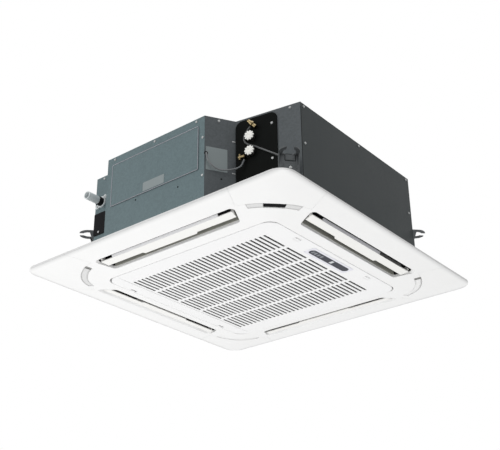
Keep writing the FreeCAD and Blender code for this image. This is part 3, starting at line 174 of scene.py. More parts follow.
# Moulded plastic: faint cloudiness, a fine grain and softened edges. Where asked, painted shade darkens it by
# place: on a flap's lip, round a cap's skirt, on the grille's slot walls or toward the panel's rim
def mouldedPlastic(name, colour, roughness=0.38, gloss=0.5, lip=None, skirt=None, walls=None, rim=None):
    finish = Finish(name, IOR=1.46, Specular_IOR_Level=gloss)
    cloud = finish.noise(scale=14.0, detail=2.0)
    fine = finish.noise(scale=1400.0, detail=2.0)
    body = finish.mix(cloud, shade(colour, 0.975), shade(colour, 1.012))
    # Painted shade on a flap's lip: grey at the front, darker on the right flap, and a black painted shadow
    # toward that flap's far end
    if lip:
        x, y = finish.axis("X"), finish.axis("Y")
        right = x > lip["from"]
        edge = finish.mix(right, shade(lip["colour"]), shade(lip["right"]))
        edge = finish.mix(right * (y > lip["paintedShadowFrom"]), edge, shade(lip["black"]))
        body = finish.mix(finish.reach() > lip["from"], body, edge)
    # Painted shade round a cap's skirt: all of the cap behind its white face turns near black
    if skirt:
        front = finish.outFrom(skirt["face"]) > skirt["to"]
        body = finish.mix(front, shade(skirt["colour"]), body)
    # Painted shade on the grille's slot walls, between its face and the back of its skin
    if walls:
        z = finish.axis("Z")
        inSkin = (z > walls["low"]) * (walls["high"] - z > 0.0)
        slotShadeMask = inSkin * (walls["half"] - finish.reach() > 0.0)
        body = finish.mix(slotShadeMask, body, shade(walls["colour"]))
    # Painted shade toward the panel's rim, growing toward its edge
    if rim:
        share = ((finish.reach() - rim["from"]) * (1.0 / rim["width"])).larger(0.0)
        body = finish.mix(share * share, body, shade(rim["colour"]))
    finish.feed("Base Color", body)
    finish.feed("Roughness", roughness + 0.10 * (cloud - 0.5) + 0.05 * (fine - 0.5))
    finish.bump(fine, distance=0.00004, strength=0.35, edge=0.0009)
    return finish.material


# Galvanised sheet: small crystal spangle, rolling streaks and cloudy zinc
def zincSheet(name, colour, spangle=0.30, metal=0.25):
    finish = Finish(name, Metallic=metal, Specular_IOR_Level=0.15)
    crystal = finish.place.node("SeparateColor", None, {0: finish.cells(scale=210.0)}, 0)
    cloud = finish.noise(scale=7.0, detail=4.0)
    streak = finish.noise(scale=60.0, detail=2.0, stretch=(1.0, 1.0, 0.08))
    tone = 0.5 + spangle * (crystal - 0.5) + 0.30 * (cloud - 0.5) + 0.16 * (streak - 0.5)
    finish.feed("Base Color", finish.mix(tone, shade(colour, 0.72), shade(colour, 1.28)))
    finish.feed("Roughness", 0.46 + 0.30 * (crystal - 0.5) * spangle + 0.16 * (cloud - 0.5))
    finish.bump(cloud * 0.6 + crystal * 0.05, distance=0.0006, strength=0.25, edge=0.0008)
    return finish.material


# Bare machined or plated metal with a light haze
def bareMetal(name, colour, roughness=0.32, haze=0.3):
    finish = Finish(name, Metallic=1.0)
    cloud = finish.noise(scale=90.0, detail=3.0)
    scratch = finish.noise(scale=500.0, detail=2.0, stretch=(1.0, 1.0, 0.12))
    dull, bright = shade(colour, 1.0 - haze), shade(colour, 1.0 + 0.4 * haze)
    finish.feed("Base Color", finish.mix(cloud, dull, bright))
    finish.feed("Roughness", roughness + 0.2 * (cloud - 0.5) + 0.12 * (scratch - 0.5))
    finish.bump(scratch, distance=0.00005, strength=0.3, edge=0.0004)
    return finish.material


# Foam: open-looking cells over a soft body
def cellFoam(name, colour, cell=420.0):
    finish = Finish(name, Roughness=0.9, Specular_IOR_Level=0.15)
    pores = finish.cells(scale=cell, output="Distance")
    cloud = finish.noise(scale=20.0, detail=3.0)
    finish.feed("Base Color", finish.mix(cloud, shade(colour, 0.82), shade(colour, 1.08)))
    finish.bump(pores, distance=0.0006, strength=0.6)
    return finish.material


# Outlet lining: black, paler on the inner walls that face the room, grey in the left and right corners'
# slots, and white as painted light on the outer walls in the middle of the left and rear outlets
def outletLining(name, colour, wall, insert, middle):
    finish = Finish(name, Roughness=0.9, Specular_IOR_Level=0.1)
    cloud = finish.noise(scale=30.0, detail=3.0)
    inner = 1.0 - (finish.reach() > wall["within"])
    x, y = finish.axis("X"), finish.axis("Y")
    corner = (x * y) > insert["beyond"]
    left = (-1.0 * x > middle["beyond"]) * (middle["half"] - y.size() > 0.0)
    rear = (y > middle["beyond"]) * (middle["half"] - x.size() > 0.0)
    body = finish.mix(cloud, shade(colour, 0.8), shade(colour, 1.2))
    body = finish.mix(inner, body, shade(wall["colour"]))
    body = finish.mix(corner, body, shade(insert["colour"]))
    # Painted light: white over the shaded outer walls in the middle of the left and rear outlets
    far = left.larger(rear) * (1.0 - inner)
    finish.feed("Base Color", finish.mix(far, body, shade(middle["colour"])))
    finish.bump(cloud, distance=0.0004, strength=0.4)
    return finish.material


# Matt black sheet with dust in its grain
def blackSheet(name, colour):
    finish = Finish(name, Specular_IOR_Level=0.03)
    dust = finish.noise(scale=26.0, detail=4.0)
    fine = finish.noise(scale=900.0, detail=2.0)
    finish.feed("Base Color", finish.mix(dust, shade(colour, 0.8), shade(colour, 1.5)))
    finish.feed("Roughness", 0.52 + 0.2 * (dust - 0.5))
    finish.bump(fine, distance=0.0001, strength=0.4, edge=0.0008)
    return finish.material


# Aluminium fins: upright plates close together
def finnedCoil(name, colour, fins=520.0, gap=0.45):
    finish = Finish(name, Metallic=0.9)
    along = (finish.axis("X") + finish.axis("Y")) * fins
    fin = along.fraction() > gap
    cloud = finish.noise(scale=18.0, detail=3.0)
    tone = fin * 0.8 + cloud * 0.2
    finish.feed("Base Color", finish.mix(tone, shade(colour, 0.25), shade(colour, 1.05)))
    finish.feed("Roughness", 0.35 + 0.2 * cloud)
    finish.bump(fin, distance=0.0009, strength=0.7)
    return finish.material


# Woven net: threads two ways with open squares between
def wovenNet(name, colour, threads=560.0, gap=0.42):
    finish = Finish(name, Roughness=0.8)
    across = (finish.axis("X") * threads).fraction() > gap
    along = (finish.axis("Y") * threads).fraction() > gap
    cloud = finish.noise(scale=12.0, detail=3.0)
    finish.feed("Base Color", finish.mix(cloud, shade(colour, 0.8), shade(colour, 1.2)))
    finish.feed("Alpha", across.larger(along))
    return finish.material


# Drawn tube or sleeve with a soft sheen
def softSleeve(name, colour):
    finish = Finish(name, Sheen_Weight=0.2)
    cloud = finish.noise(scale=160.0, detail=3.0)
    finish.feed("Base Color", finish.mix(cloud, shade(colour, 0.85), shade(colour, 1.08)))
    finish.feed("Roughness", 0.42 + 0.2 * (cloud - 0.5))
    finish.bump(cloud, distance=0.0002, strength=0.3)
    return finish.material


# Smoked window: a dark body with faint clouds under a thin coat
def smokedWindow(name, colour):
    finish = Finish(name, Coat_Weight=0.03, Coat_Roughness=0.08, Specular_IOR_Level=0.08)
    cloud = finish.noise(scale=40.0, detail=2.0)
    finish.feed("Base Color", finish.mix(cloud, shade(colour, 0.9), shade(colour, 1.15)))
    finish.feed("Roughness", 0.16 + 0.08 * cloud)
    return finish.material


# Circuit board: green lacquer with paler tracks
def lacquerBoard(name, colour, tracks=240.0, gap=0.7):
    finish = Finish(name, Coat_Weight=0.3)
    track = (finish.axis("Y") * tracks).fraction() > gap
    cloud = finish.noise(scale=60.0, detail=2.0)
    tone = track * 0.5 + cloud * 0.2
    finish.feed("Base Color", finish.mix(tone, shade(colour, 0.9), shade(colour, 1.9)))
    finish.feed("Roughness", 0.3 + 0.1 * cloud)
    return finish.material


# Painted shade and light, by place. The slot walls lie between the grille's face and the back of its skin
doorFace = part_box("intake_grille")[0].z
slotWallsPaintedShade = {"low": doorFace + 0.0006, "high": doorFace + 0.0027, "half": 0.272,
             "colour": (0.45, 0.45, 0.445)}
panelRimPaintedShade = {"from": 0.456, "width": 0.019, "colour": (0.62, 0.62, 0.62)}
capSkirtPaintedShade = {"face": "pipe", "to": 0.0145, "colour": (0.014, 0.014, 0.014)}
flapLipPaintedShade = {"from": 0.3872, "colour": (0.76, 0.76, 0.77), "right": (0.42, 0.42, 0.44),
           "paintedShadowFrom": 0.082, "black": (0.004, 0.004, 0.004)}
lining = dict(wall={"within": 0.3435, "colour": (0.40, 0.40, 0.355)},
              insert={"beyond": 0.106, "colour": (0.32, 0.32, 0.31)},
              middle={"beyond": 0.25, "half": 0.098, "colour": (0.93, 0.93, 0.92)})

# A finish for each of the record's material slots
finishes = {
    "white_panel": mouldedPlastic("panelWhite", (0.93, 0.93, 0.925), rim=panelRimPaintedShade),
    "flap_white": mouldedPlastic("flapCream", (0.92, 0.915, 0.89), roughness=0.33, lip=flapLipPaintedShade),
    "grille_white": mouldedPlastic("grilleWhite", (0.93, 0.93, 0.93), walls=slotWallsPaintedShade),
    "display_frame": mouldedPlastic("surroundLilac", (0.80, 0.80, 0.86), roughness=0.30),
    "display_window": smokedWindow("windowSmoke", (0.036, 0.039, 0.052)),
    "filter_net": mouldedPlastic("filterFrame", (0.016, 0.017, 0.016), roughness=0.6, gloss=0.1),
    "galvanised": zincSheet("zincDark", (0.0295, 0.0355, 0.0370)),
    "cover_sheet": zincSheet("zincTeal", (0.109, 0.151, 0.161)),
    "bracket_steel": zincSheet("bracketZinc", (0.095, 0.102, 0.106), spangle=0.25, metal=0.3),
    "screw_steel": bareMetal("screwZinc", (0.40, 0.41, 0.41), roughness=0.34, haze=0.25),
    "black_plate": blackSheet("sealBlack", (0.0046, 0.0053, 0.0049)),
    "lining_black": outletLining("liningBlack", (0.010, 0.010, 0.011), **lining),
    "spigot_grey": mouldedPlastic("spigotGrey", (0.70, 0.74, 0.75), roughness=0.3),
    "copper": bareMetal("copperTube", (0.30, 0.20, 0.14), roughness=0.42),
    "brass": bareMetal("brassValve", (0.30, 0.235, 0.125), roughness=0.22, haze=0.8),
    "cap_white": mouldedPlastic("capWhite", (0.86, 0.86, 0.82), roughness=0.42, skirt=capSkirtPaintedShade),
    "cable_grey": softSleeve("sleeveGrey", (0.14, 0.15, 0.157)),
    "coil_aluminium": finnedCoil("coilFins", (0.72, 0.74, 0.76)),
    "pan_foam": cellFoam("panFoam", (0.06, 0.06, 0.062)),
    "liner_foam": cellFoam("linerFoam", (0.03, 0.03, 0.03)),
    "mouth_grey": mouldedPlastic("mouthGrey", (0.10, 0.105, 0.11), roughness=0.45),
    "fan_grey": mouldedPlastic("fanGrey", (0.06, 0.064, 0.068), roughness=0.42),
    "motor_metal": zincSheet("motorShell", (0.08, 0.085, 0.09), spangle=0.06, metal=0.5),
    "shaft_steel": bareMetal("shaftSteel", (0.7, 0.7, 0.7), roughness=0.22),
    "black_plastic": mouldedPlastic("motorBlack", (0.014, 0.014, 0.015), roughness=0.5, gloss=0.12),
    "mount_rubber": cellFoam("mountRubber", (0.02, 0.02, 0.02), cell=900.0),
    "pump_plastic": mouldedPlastic("pumpPlastic", (0.62, 0.62, 0.60), roughness=0.4),
    "box_steel": zincSheet("boxZinc", (0.22, 0.235, 0.24), spangle=0.12, metal=0.5),
    "board_green": lacquerBoard("boardGreen", (0.03, 0.16, 0.07)),
    "seal_foam": cellFoam("sealFoam", (0.03, 0.03, 0.03)),
}
# The recess wall is a paler sheet than the sides, and the pump cover a duller black than the seal plate
nodeFinishes = {"pipe_plate": zincSheet("zincRecess", (0.088, 0.098, 0.104)),
                "pump_cover": blackSheet("pumpBlack", (0.010, 0.010, 0.011))}
for part in frame["record"]["subparts"]:
    mesh = nodes[part["node"]].data
    mesh.materials.clear()
    mesh.materials.append(nodeFinishes.get(part["node"], finishes[part["material_slot"]]))
print("finishes:", len(finishes))


# Points (..., 3) carried by a matrix
def carried(points, matrix):
    m = np.array(matrix)
    return points @ m[:3, :3].T + m[:3, 3]


# A mesh from grids of points (copies, u, v, 3): quads between neighbours, closed in u or v where asked
def gridPiece(name, grids, body, slot, wrapU=False, wrapV=False, finish=None, smooth=True):
    copies, countU, countV = grids.shape[:3]
    u, v = np.meshgrid(np.arange(countU if wrapU else countU - 1),
                       np.arange(countV if wrapV else countV - 1), indexing="ij")
    nextU, nextV = (u + 1) % countU, (v + 1) % countV
    quad = np.stack([u * countV + v, nextU * countV + v, nextU * countV + nextV, u * countV + nextV], -1)
    quads = quad.reshape(1, -1, 4) + (np.arange(copies) * countU * countV).reshape(-1, 1, 1)
    mesh = bpy.data.meshes.new(name)
    mesh.from_pydata(grids.reshape(-1, 3).tolist(), [], quads.reshape(-1, 4).tolist())
    work = bmesh.new()
    work.from_mesh(mesh)
    bmesh.ops.remove_doubles(work, verts=work.verts, dist=1e-6)
    bmesh.ops.recalc_face_normals(work, faces=work.faces)
    work.to_mesh(mesh)
    work.free()
    mesh.polygons.foreach_set("use_smooth", np.full(len(mesh.polygons), smooth))
    mesh.materials.append(finish or finishes[slot])
    piece = bpy.data.objects.new(name, mesh)
    bpy.context.scene.collection.objects.link(piece)
    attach(piece, body)
    return piece


# A profile of (radius, height) turned about the local z axis
def turnedGrid(profile, steps):
    profile = np.array(profile, float)
    angle = np.linspace(0.0, 2.0 * np.pi, steps, endpoint=False)[:, None]
    return np.stack([np.cos(angle) * profile[:, 0], np.sin(angle) * profile[:, 0],
                     np.broadcast_to(profile[:, 1], (steps, len(profile)))], -1)


# The edge of a rounded rectangle and the ways out from it
def roundedRim(width, height, radius, steps=6):
    quarter = np.linspace(0.0, np.pi / 2, steps)
    angle = np.concatenate([quarter + k * np.pi / 2 for k in range(4)])
    signX = np.repeat([1.0, -1.0, -1.0, 1.0], steps)
    signY = np.repeat([1.0, 1.0, -1.0, -1.0], steps)
    out = np.stack([np.cos(angle), np.sin(angle)], -1)
    return np.stack([signX * (width / 2 - radius), signY * (height / 2 - radius)], -1) + radius * out, out


# A bead of (offset, height) carried round a rounded rectangle
def frameGrid(width, height, radius, profile):
    rim, out = roundedRim(width, height, radius)
    offset, level = np.array(profile, float).T
    flat = rim[:, None, :] + out[:, None, :] * offset[None, :, None]
    return np.concatenate([flat, np.broadcast_to(level[None, :, None], flat.shape[:2] + (1,))], -1)


# A flat plate: a rounded rectangle's edge, stepped up, then drawn in to its middle
def plateGrid(width, height, radius, thickness, edge=0.0003):
    rim = roundedRim(width, height, radius)[0]
    shrink = np.array([0.0, 1.0, 1.0, 1.0 - 2 * edge / min(width, height), 0.0])
    level = np.array([0.0, 0.0, thickness - edge, thickness, thickness])
    flat = rim[:, None, :] * shrink[None, :, None]
    return np.concatenate([flat, np.broadcast_to(level[None, :, None], flat.shape[:2] + (1,))], -1)


# A place on an upright face: s along it, z up and out from its sheet
def at(face, s, z, out=0.0):
    return faces[face] @ Matrix.Translation((s, z, out))


# Camera: the photograph's own view, from below, with the picture's small roll
cameraPose = dict(azimuth=38.69, elevation=-26.42, roll=-0.72, distance=2.878,
                  aside=3.4, above=-51.7, focal=968.8, width=500.0, sensor=36.0)


# The camera stands back from the unit's middle by its distance, and is moved by pixels aside and above
def makeCamera(pose):
    a, e, roll = (math.radians(pose[k]) for k in ("azimuth", "elevation", "roll"))
    back = Vector((math.sin(a) * math.cos(e), -math.cos(a) * math.cos(e), math.sin(e)))
    flatRight = (-back).cross(Vector((0.0, 0.0, 1.0))).normalized()
    flatUp = flatRight.cross(-back)
    right = math.cos(roll) * flatRight + math.sin(roll) * flatUp
    up = -math.sin(roll) * flatRight + math.cos(roll) * flatUp
    reach = pose["distance"] / pose["focal"]
    place = back * pose["distance"] - right * (pose["aside"] * reach) - up * (pose["above"] * reach)
    lens = bpy.data.cameras.new("photoLens")
    lens.sensor_fit = "HORIZONTAL"
    lens.sensor_width = pose["sensor"]
    lens.lens = pose["focal"] / pose["width"] * pose["sensor"]
    camera = bpy.data.objects.new("photoCamera", lens)
    matrix = Matrix.Identity(4)
    for i, column in enumerate((right, up, back, place)):
        for j in range(3):
            matrix[j][i] = column[j]
    camera.matrix_world = matrix
    bpy.context.scene.collection.objects.link(camera)
    bpy.context.scene.camera = camera


makeCamera(cameraPose)

# Cords: the thin cable across the recess and the vent hose, held by the object all the way
cable = dict(radius=0.0022, length=0.1502, level=cabinet["pipeLevels"]["supply"],
             across=((4, -4, 3), (5, -20, 6), (13, -37, 8), (27, -50, 9), (45, -55, 9.5)),
             inside=((8, -51, 22), (22, -42, 13), (28, -31, 11), (31, -20.2, 10)))
hose = dict(radius=0.0024, length=0.2083, level=cabinet["pipeLevels"]["return"],
            route=((50.9, 30.4, 10), (41, 23, 7), (31.5, 12.5, 6.2), (27.8, -1, 6), (32, -13.5, 6),
                   (44.5, -23.5, 6), (66, -35, 6), (160, -101, 6)))


# A route's points on a face, given in millimetres along it, up from a level and out
def routePoints(face, level, points):
    return [faces[face] @ Vector((s / 1000, level + rise / 1000, out / 1000)) for s, rise, out in points]


# A cord: one smooth spline of order three over its route's points, rounded out to its radius
def makeCord(name, points, radius, slot, finish=None):
    curve = bpy.data.curves.new(name, "CURVE")
    curve.dimensions = "3D"
    spline = curve.splines.new("NURBS")
    spline.points.add(len(points) - 1)
    for control, point in zip(spline.points, points):
        control.co = (point.x, point.y, point.z, 1.0)
    spline.order_u = 3
    spline.use_endpoint_u = True
    spline.resolution_u = 10
    curve.bevel_depth = radius
    curve.bevel_resolution = 4
    curve.use_fill_caps = True
    curve.materials.append(finish or finishes[slot])
    piece = bpy.data.objects.new(name, curve)
    bpy.context.scene.collection.objects.link(piece)
    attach(piece, "unit")
    return piece


cablePoints = (routePoints("cable", cable["level"], cable["across"])
               + routePoints("pipe", cable["level"], cable["inside"]))
cableLoop = makeCord("cableLoop", cablePoints, cable["radius"], "cable_grey")
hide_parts("cable_loop")
hosePoints = routePoints("pipe", hose["level"], hose["route"])
hoseFinish = softSleeve("hoseGrey", (0.055, 0.059, 0.061))
ventHose = makeCord("ventHose", hosePoints, hose["radius"], "cable_grey", hoseFinish)
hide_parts("vent_hose")
print("camera and cords")

# Screw flanges: a low ring round the foot of each hexagon head. The heads stand in a row along the top edge,
# in a lower row, in two places of their own and on the seal plate
screws = dict(profile=((0.0026, 0.0), (0.0037, 0.0), (0.0039, 0.0003), (0.0036, 0.0007), (0.0026, 0.0009)),
              steps=16,
              top=0.305, topRow={"front": (-0.205, -0.044, 0.116), "cable": (0.041,), "pipe": (0.169,),
                                 "right": (-0.260, 0.009, 0.272), "rear": (-0.205, 0.0, 0.205),
                                 "left": (-0.272, 0.0, 0.272), "drain": (-0.313,)},
              low=0.190, lowRow={"right": (-0.260, 0.272), "rear": (-0.205, 0.205), "left": (-0.272, 0.272)},
              alone=(("front", 0.1395, 0.246), ("front", 0.1395, 0.128)),
              seat=0.003, onSeal=(("pipe", 0.114, 0.272), ("pipe", 0.114, 0.162)))
screwPlaces = [(face, s, screws[row]) for row in ("top", "low") for face, along in screws[row + "Row"].items()
               for s in along]
screwPlaces += screws["alone"]
screwPlaces += [place + (screws["seat"],) for place in screws["onSeal"]]
ring = turnedGrid(screws["profile"], screws["steps"])
gridPiece("screwFlanges", np.stack([carried(ring, at(*place)) for place in screwPlaces]),
          "unit", "screw_steel", wrapU=True, wrapV=True)

# Rivets: shallow domes on the sheet
rivets = dict(profile=((0.0, 0.0012), (0.0014, 0.0010), (0.0023, 0.0004), (0.0026, 0.0), (0.0, 0.0)),
              steps=14, places=(("front", -0.112, 0.1395), ("front", 0.050, 0.124), ("cable", 0.0485, 0.123)))
dome = turnedGrid(rivets["profile"], rivets["steps"])
gridPiece("sheetRivets", np.stack([carried(dome, at(*place)) for place in rivets["places"]]),
          "unit", "black_plate", wrapU=True)

# Bare data plates, one on the access cover and one beside the recess
plateFinish = mouldedPlastic("plateSilver", (0.20, 0.235, 0.24), roughness=0.32)
plateSheet = dict(radius=0.002, thickness=0.0005, edge=0.0001)
plates = {"frontPlateBare": dict(place=dict(face="front", s=-0.042, z=0.169, out=0.002),
                                 width=0.082, height=0.028),
          "sidePlateBare": dict(place=dict(face="cable", s=0.035, z=0.181), width=0.062, height=0.072)}
for name, plate in plates.items():
    sheetGrid = plateGrid(plate["width"], plate["height"], **plateSheet)
    gridPiece(name, carried(sheetGrid, at(**plate["place"]))[None], "unit", "cover_sheet",
              wrapU=True, finish=plateFinish, smooth=False)

# Cap faces: a raised ring and a dimple on each moulded cap
capFace = dict(profile=((0.0, -0.0002), (0.0026, -0.0002), (0.0034, 0.0006), (0.0078, 0.0006),
                        (0.0088, 0.0001), (0.0110, 0.0001), (0.0116, -0.0004), (0.0, -0.0006)),
               steps=40, s=0.050, out=0.017)
disc = turnedGrid(capFace["profile"], capFace["steps"])
for side, level in cabinet["pipeLevels"].items():
    gridPiece(side + "CapFace", carried(disc, at("pipe", capFace["s"], level, capFace["out"]))[None],
              "cap_" + side, "cap_white", wrapU=True)

# Cap lobe shade: dark half-moons between the lobes of each cap's white face, painted shade in the valleys
lobeShade = dict(profile=((0.0, 0.0), (0.00135, 0.0), (0.00125, 0.0001), (0.0, 0.0001)), steps=12,
               count=10, reach=0.0129)
halfMoon = turnedGrid(lobeShade["profile"], lobeShade["steps"])
turns = [math.tau * (k + 0.5) / lobeShade["count"] for k in range(lobeShade["count"])]
for side, level in cabinet["pipeLevels"].items():
    places = [at("pipe", capFace["s"] + lobeShade["reach"] * math.cos(turn),
                 level + lobeShade["reach"] * math.sin(turn), capFace["out"]) for turn in turns]
    gridPiece(side + "CapLobeShade", np.stack([carried(halfMoon, place) for place in places]),
              "cap_" + side, "cap_white", wrapU=True, finish=finishes["black_plastic"])

# Edge seam: the dark gap down the corner between the recess wall and the right side
seam = dict(sheet=dict(width=0.0016, height=0.27, radius=0.0004, thickness=0.0003, edge=0.0001),
            s=-0.2735, z=0.165)
gridPiece("edgeSeam", carried(plateGrid(**seam["sheet"]), at("right", seam["s"], seam["z"]))[None],
          "unit", "black_plate", wrapU=True, smooth=False)

# Slot floors: strips filling each corner's slot, grey as painted shade at two corners and pale at the far
# ones.
# They are arcs about the corner's centre, in degrees from its diagonal, open where an insert shows
slots = dict(centre=0.244, inner=0.14005, outer=0.15995, diagonal=45.0, spread=27.4, insert=11.1, end=5.3,
             inset=0.0005, thickness=0.0004, along=24, across=4)
slotSpans = {"slotFloors": ((1, -1, -slots["spread"], -slots["insert"]),
                            (1, -1, slots["insert"], slots["spread"]),
                            (-1, -1, -slots["spread"], slots["spread"] - slots["end"])),
             "slotFloorsFar": ((1, 1, slots["end"] - slots["spread"], slots["spread"]),
                               (-1, 1, -slots["spread"], slots["spread"]))}
# The grey strips carry painted shade in two corners' slots, and the pale strips fill the far ones
slotFinishes = {"slotFloors": mouldedPlastic("slotPaintedShade", (0.74, 0.74, 0.735), roughness=0.5),
                "slotFloorsFar": mouldedPlastic("slotPale", (0.90, 0.90, 0.895), roughness=0.5)}
crown = dict(doorHalf=0.307, doorCorner=0.030, doorLevel=-0.02726,
             rimHalf=0.472, rimCorner=0.042, rimLevel=-0.005)


# Level of the panel's crown, which rises evenly from the door's rounded square to the rim's. The share of the
# way comes from the larger coordinate along a side, and round a corner from the circle through the point
def crownLevel(x, y):
    start, radius = crown["doorHalf"] - crown["doorCorner"], crown["doorCorner"]
    shift, growth = crown["rimHalf"] - crown["rimCorner"] - start, crown["rimCorner"] - radius
    side = (np.maximum(x, y) - crown["doorHalf"]) / (crown["rimHalf"] - crown["doorHalf"])
    square = 2 * shift ** 2 - growth ** 2
    linear = shift * (x + y - 2 * start) + radius * growth
    fixed = (x - start) ** 2 + (y - start) ** 2 - radius ** 2
    corner = (linear - np.sqrt(np.maximum(linear ** 2 - square * fixed, 0.0))) / square
    share = np.where(np.minimum(x, y) > start + side * shift, corner, side)
    return crown["doorLevel"] + share * (crown["rimLevel"] - crown["doorLevel"])


# One strip: angle by radius about the corner's centre, lifted to the crown
def slotFloor(signX, signY, start, end):
    first, last = slots["diagonal"] + start, slots["diagonal"] + end
    angle = np.radians(np.linspace(first, last, slots["along"]))[:, None]
    radius = np.linspace(slots["inner"], slots["outer"], slots["across"])
    x, y = slots["centre"] + radius * np.cos(angle), slots["centre"] + radius * np.sin(angle)
    return np.stack([signX * x, signY * y, crownLevel(x, y) + slots["inset"]], -1)


for name, spans in slotSpans.items():
    floors = gridPiece(name, np.stack([slotFloor(*span) for span in spans]), "unit", "white_panel",
                       finish=slotFinishes[name])
    thicker = floors.modifiers.new("thickness", "SOLIDIFY")
    thicker.thickness = slots["thickness"]

# Light tabs folded over the recess's inner edge
tabs = dict(sheet=dict(width=0.010, height=0.0034, radius=0.0008, thickness=0.0012),
            s=0.0845, levels=(0.246, 0.146))
tabGrid = plateGrid(**tabs["sheet"])
gridPiece("recessTabs", np.stack([carried(tabGrid, at("cable", tabs["s"], z)) for z in tabs["levels"]]),
          "unit", "screw_steel", wrapU=True, smooth=False)

# A pale bead round the edge of the access cover
coverLow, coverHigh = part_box("access_cover")
bead = dict(inset=0.0012, radius=0.004,
            profile=((-0.0008, 0.0), (-0.0008, 0.0004), (0.0, 0.0007), (0.0008, 0.0004), (0.0008, 0.0)))
beadGrid = frameGrid(coverHigh.x - coverLow.x - 2 * bead["inset"],
                     coverHigh.z - coverLow.z - 2 * bead["inset"], bead["radius"], bead["profile"])
beadPlace = at("front", (coverLow.x + coverHigh.x) / 2, (coverLow.z + coverHigh.z) / 2,
               -coverLow.y - cabinet["half"])
gridPiece("coverBead", carried(beadGrid, beadPlace)[None], "unit", "cover_sheet", wrapU=True, wrapV=True,
          finish=mouldedPlastic("beadPale", (0.36, 0.35, 0.39), roughness=0.4))

# Bracket relief: on each hanger bracket a raised tab in a groove of painted shade, two ribs and a bolt
brackets = dict(x=0.367, y=0.308, plate=0.003, boss=0.005,
                tab=dict(width=0.024, height=0.016, radius=0.0015, thickness=0.0016), tabAt=(0.004, 0.131),
                rib=dict(width=0.004, height=0.036, radius=0.0015, thickness=0.0014), ribAt=(0.021, 0.116),
                groove=dict(width=0.028, height=0.020, radius=0.002,
                            profile=((-0.0007, 0.0), (-0.0007, 0.0003), (0.0007, 0.0003), (0.0007, 0.0))),
                head=((0.0, 0.0030), (0.0030, 0.0028), (0.0042, 0.0014), (0.0046, 0.0), (0.0, 0.0)),
                headSteps=18, boltAt=(0.004, 0.1005))
bracketFaces = [uprightFace((x * brackets["x"], y * brackets["y"]),
                            (x * brackets["x"] - y, y * brackets["y"] + x))
                for x in (1, -1) for y in (1, -1)]


# Copies of a grid on the four brackets, at one place on each
def onBrackets(grid, s, z, out):
    return np.stack([carried(grid, face @ Matrix.Translation((s, z, out))) for face in bracketFaces])


relief = [onBrackets(plateGrid(**brackets["tab"]), *brackets["tabAt"], brackets["plate"])]
ribAlong, ribLevel = brackets["ribAt"]
for side in (-1, 1):
    relief.append(onBrackets(plateGrid(**brackets["rib"]), side * ribAlong, ribLevel, brackets["plate"]))
gridPiece("bracketTabs", np.concatenate(relief), "unit", "bracket_steel", wrapU=True, smooth=False)
# The grooves are a dark bead of painted shade round each tab
grooveGrid = frameGrid(**brackets["groove"])
gridPiece("bracketGrooves", onBrackets(grooveGrid, *brackets["tabAt"], brackets["plate"]),
          "unit", "bracket_steel", wrapU=True, wrapV=True,
          finish=blackSheet("groovePaintedShade", (0.012, 0.013, 0.013)))
headGrid = turnedGrid(brackets["head"], brackets["headSteps"])
gridPiece("bracketBolts", onBrackets(headGrid, *brackets["boltAt"], brackets["boss"]),
          "unit", "screw_steel", wrapU=True)

# Two dark sleeves: a grommet where the cable leaves the wall, and a dark ring round the drain spigot's root
sleeves = {
    "cableGrommet": dict(profile=((0.0023, 0.0), (0.0052, 0.0), (0.0056, 0.0012), (0.0046, 0.0030),
                                  (0.0028, 0.0034)), steps=24, place=("cable", 0.004, 0.195)),
    "spigotDarkRing": dict(profile=((0.01255, 0.0045), (0.0136, 0.0045), (0.0138, 0.0060), (0.0136, 0.0180),
                                (0.01255, 0.0195)), steps=32, place=("drain", -0.319, 0.226)),
}
for name, sleeve in sleeves.items():
    sleeveGrid = turnedGrid(sleeve["profile"], sleeve["steps"])
    gridPiece(name, carried(sleeveGrid, at(*sleeve["place"]))[None],
              "unit", "black_plastic", wrapU=True, wrapV=True)

# Display: paler segments and one bright square on the smoked window's face
display = dict(x=0.2715, proud=0.00015, edge=0.00004,
               segment=dict(width=0.012, height=0.008, radius=0.001),
               segmentsAt=(-0.076, -0.064, -0.050, -0.036),
               square=dict(width=0.014, height=0.011, radius=0.0012), squareAt=0.012)
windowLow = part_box("display_window")[0].z


# A plate hung face down under the window
def underPlate(y, sheet):
    grid = plateGrid(**sheet, thickness=display["proud"], edge=display["edge"])
    return grid * np.array([1.0, 1.0, -1.0]) + np.array([display["x"], y, windowLow])


segmentFinish = smokedWindow("segmentGrey", (0.22, 0.23, 0.25))
segments = np.stack([underPlate(y, display["segment"]) for y in display["segmentsAt"]])
gridPiece("displaySegments", segments, "grille", "display_window", wrapU=True, finish=segmentFinish,
          smooth=False)
squareFinish = mouldedPlastic("indicatorPale", (0.62, 0.64, 0.66), roughness=0.3)
gridPiece("displayIndicator", underPlate(display["squareAt"], display["square"])[None],
          "grille", "display_window", wrapU=True, finish=squareFinish, smooth=False)

# Filter net: one thin woven sheet over the filter's lattice
netLow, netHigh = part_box("air_filter")
net = dict(margin=0.006, rise=0.0024, steps=12)
netX = np.linspace(netLow.x + net["margin"], netHigh.x - net["margin"], net["steps"])
netY = np.linspace(netLow.y + net["margin"], netHigh.y - net["margin"], net["steps"])
gridX, gridY = np.meshgrid(netX, netY, indexing="ij")
netGrid = np.stack([gridX, gridY, np.full_like(gridX, netLow.z + net["rise"])], -1)
gridPiece("filterNet", netGrid[None], "grille", "filter_net",
          finish=wovenNet("netWeave", (0.016, 0.017, 0.018)))

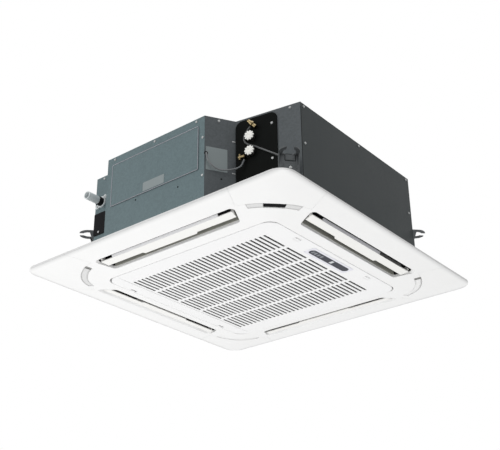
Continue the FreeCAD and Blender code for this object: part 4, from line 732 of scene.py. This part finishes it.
# Studio: white surroundings, a pale floor far below, three soft lamps
studio = dict(world=0.72, floor=-6.0, floorHalf=8.0, floorGlow=0.92, aim=(0.0, 0.0, 0.1),
              lamps={"keyLamp": dict(place=(-1.9, -3.2, 0.5), size=2.2, power=34.0),
                     "underLamp": dict(place=(-0.4, -1.0, -2.8), size=2.4, power=34.0),
                     "topLamp": dict(place=(0.4, -0.6, 3.0), size=2.6, power=22.0)})
scene = bpy.context.scene
scene.view_settings.view_transform = "Standard"


# One where the camera sees the surroundings, straight or by a mirror or glass, and nought for other light
def seenRays(tree):
    rays = tree.nodes.new("ShaderNodeLightPath").outputs
    camera, glossy, clear = (Field(tree, rays["Is " + kind + " Ray"])
                             for kind in ("Camera", "Glossy", "Transmission"))
    return camera.larger(glossy).larger(clear)


world = bpy.data.worlds.new("studioWorld")
scene.world = world
world.use_nodes = True
sky = world.node_tree
sky.nodes.clear()
seen = seenRays(sky)
level = studio["world"] + (1.0 - studio["world"]) * seen
glow = seen.node("Background", None, {"Color": (1.0, 1.0, 1.0, 1.0), "Strength": level})
sky.links.new(glow.socket, sky.nodes.new("ShaderNodeOutputWorld").inputs["Surface"])
for name, settings in studio["lamps"].items():
    lamp = bpy.data.lights.new(name, "AREA")
    lamp.shape = "DISK"
    lamp.size = settings["size"]
    lamp.energy = settings["power"]
    holder = bpy.data.objects.new(name, lamp)
    holder.location = settings["place"]
    ahead = Vector(studio["aim"]) - Vector(settings["place"])
    holder.rotation_euler = ahead.to_track_quat("-Z", "Y").to_euler()
    scene.collection.objects.link(holder)
floorMesh = bpy.data.meshes.new("studioFloor")
half = studio["floorHalf"]
corners = [(x * half, y * half, studio["floor"]) for x, y in ((-1, -1), (1, -1), (1, 1), (-1, 1))]
floorMesh.from_pydata(corners, [], [(0, 1, 2, 3)])
floorFinish = Finish("floorPale", Base_Color=(0.86, 0.86, 0.86, 1.0), Roughness=0.9)
floorTree = floorFinish.material.node_tree
white = floorFinish.place.node("Emission", None, {"Color": (1.0, 1.0, 1.0, 1.0), "Strength": 1.0})
matt = Field(floorTree, floorFinish.shader.outputs[0])
pale = white.node("MixShader", None, {0: studio["floorGlow"] * seenRays(floorTree), 1: matt, 2: white})
floorTree.links.new(pale.socket, floorTree.nodes["Material Output"].inputs["Surface"])
floorMesh.materials.append(floorFinish.material)
floorPiece = bpy.data.objects.new("studioFloor", floorMesh)
scene.collection.objects.link(floorPiece)
print("studio")
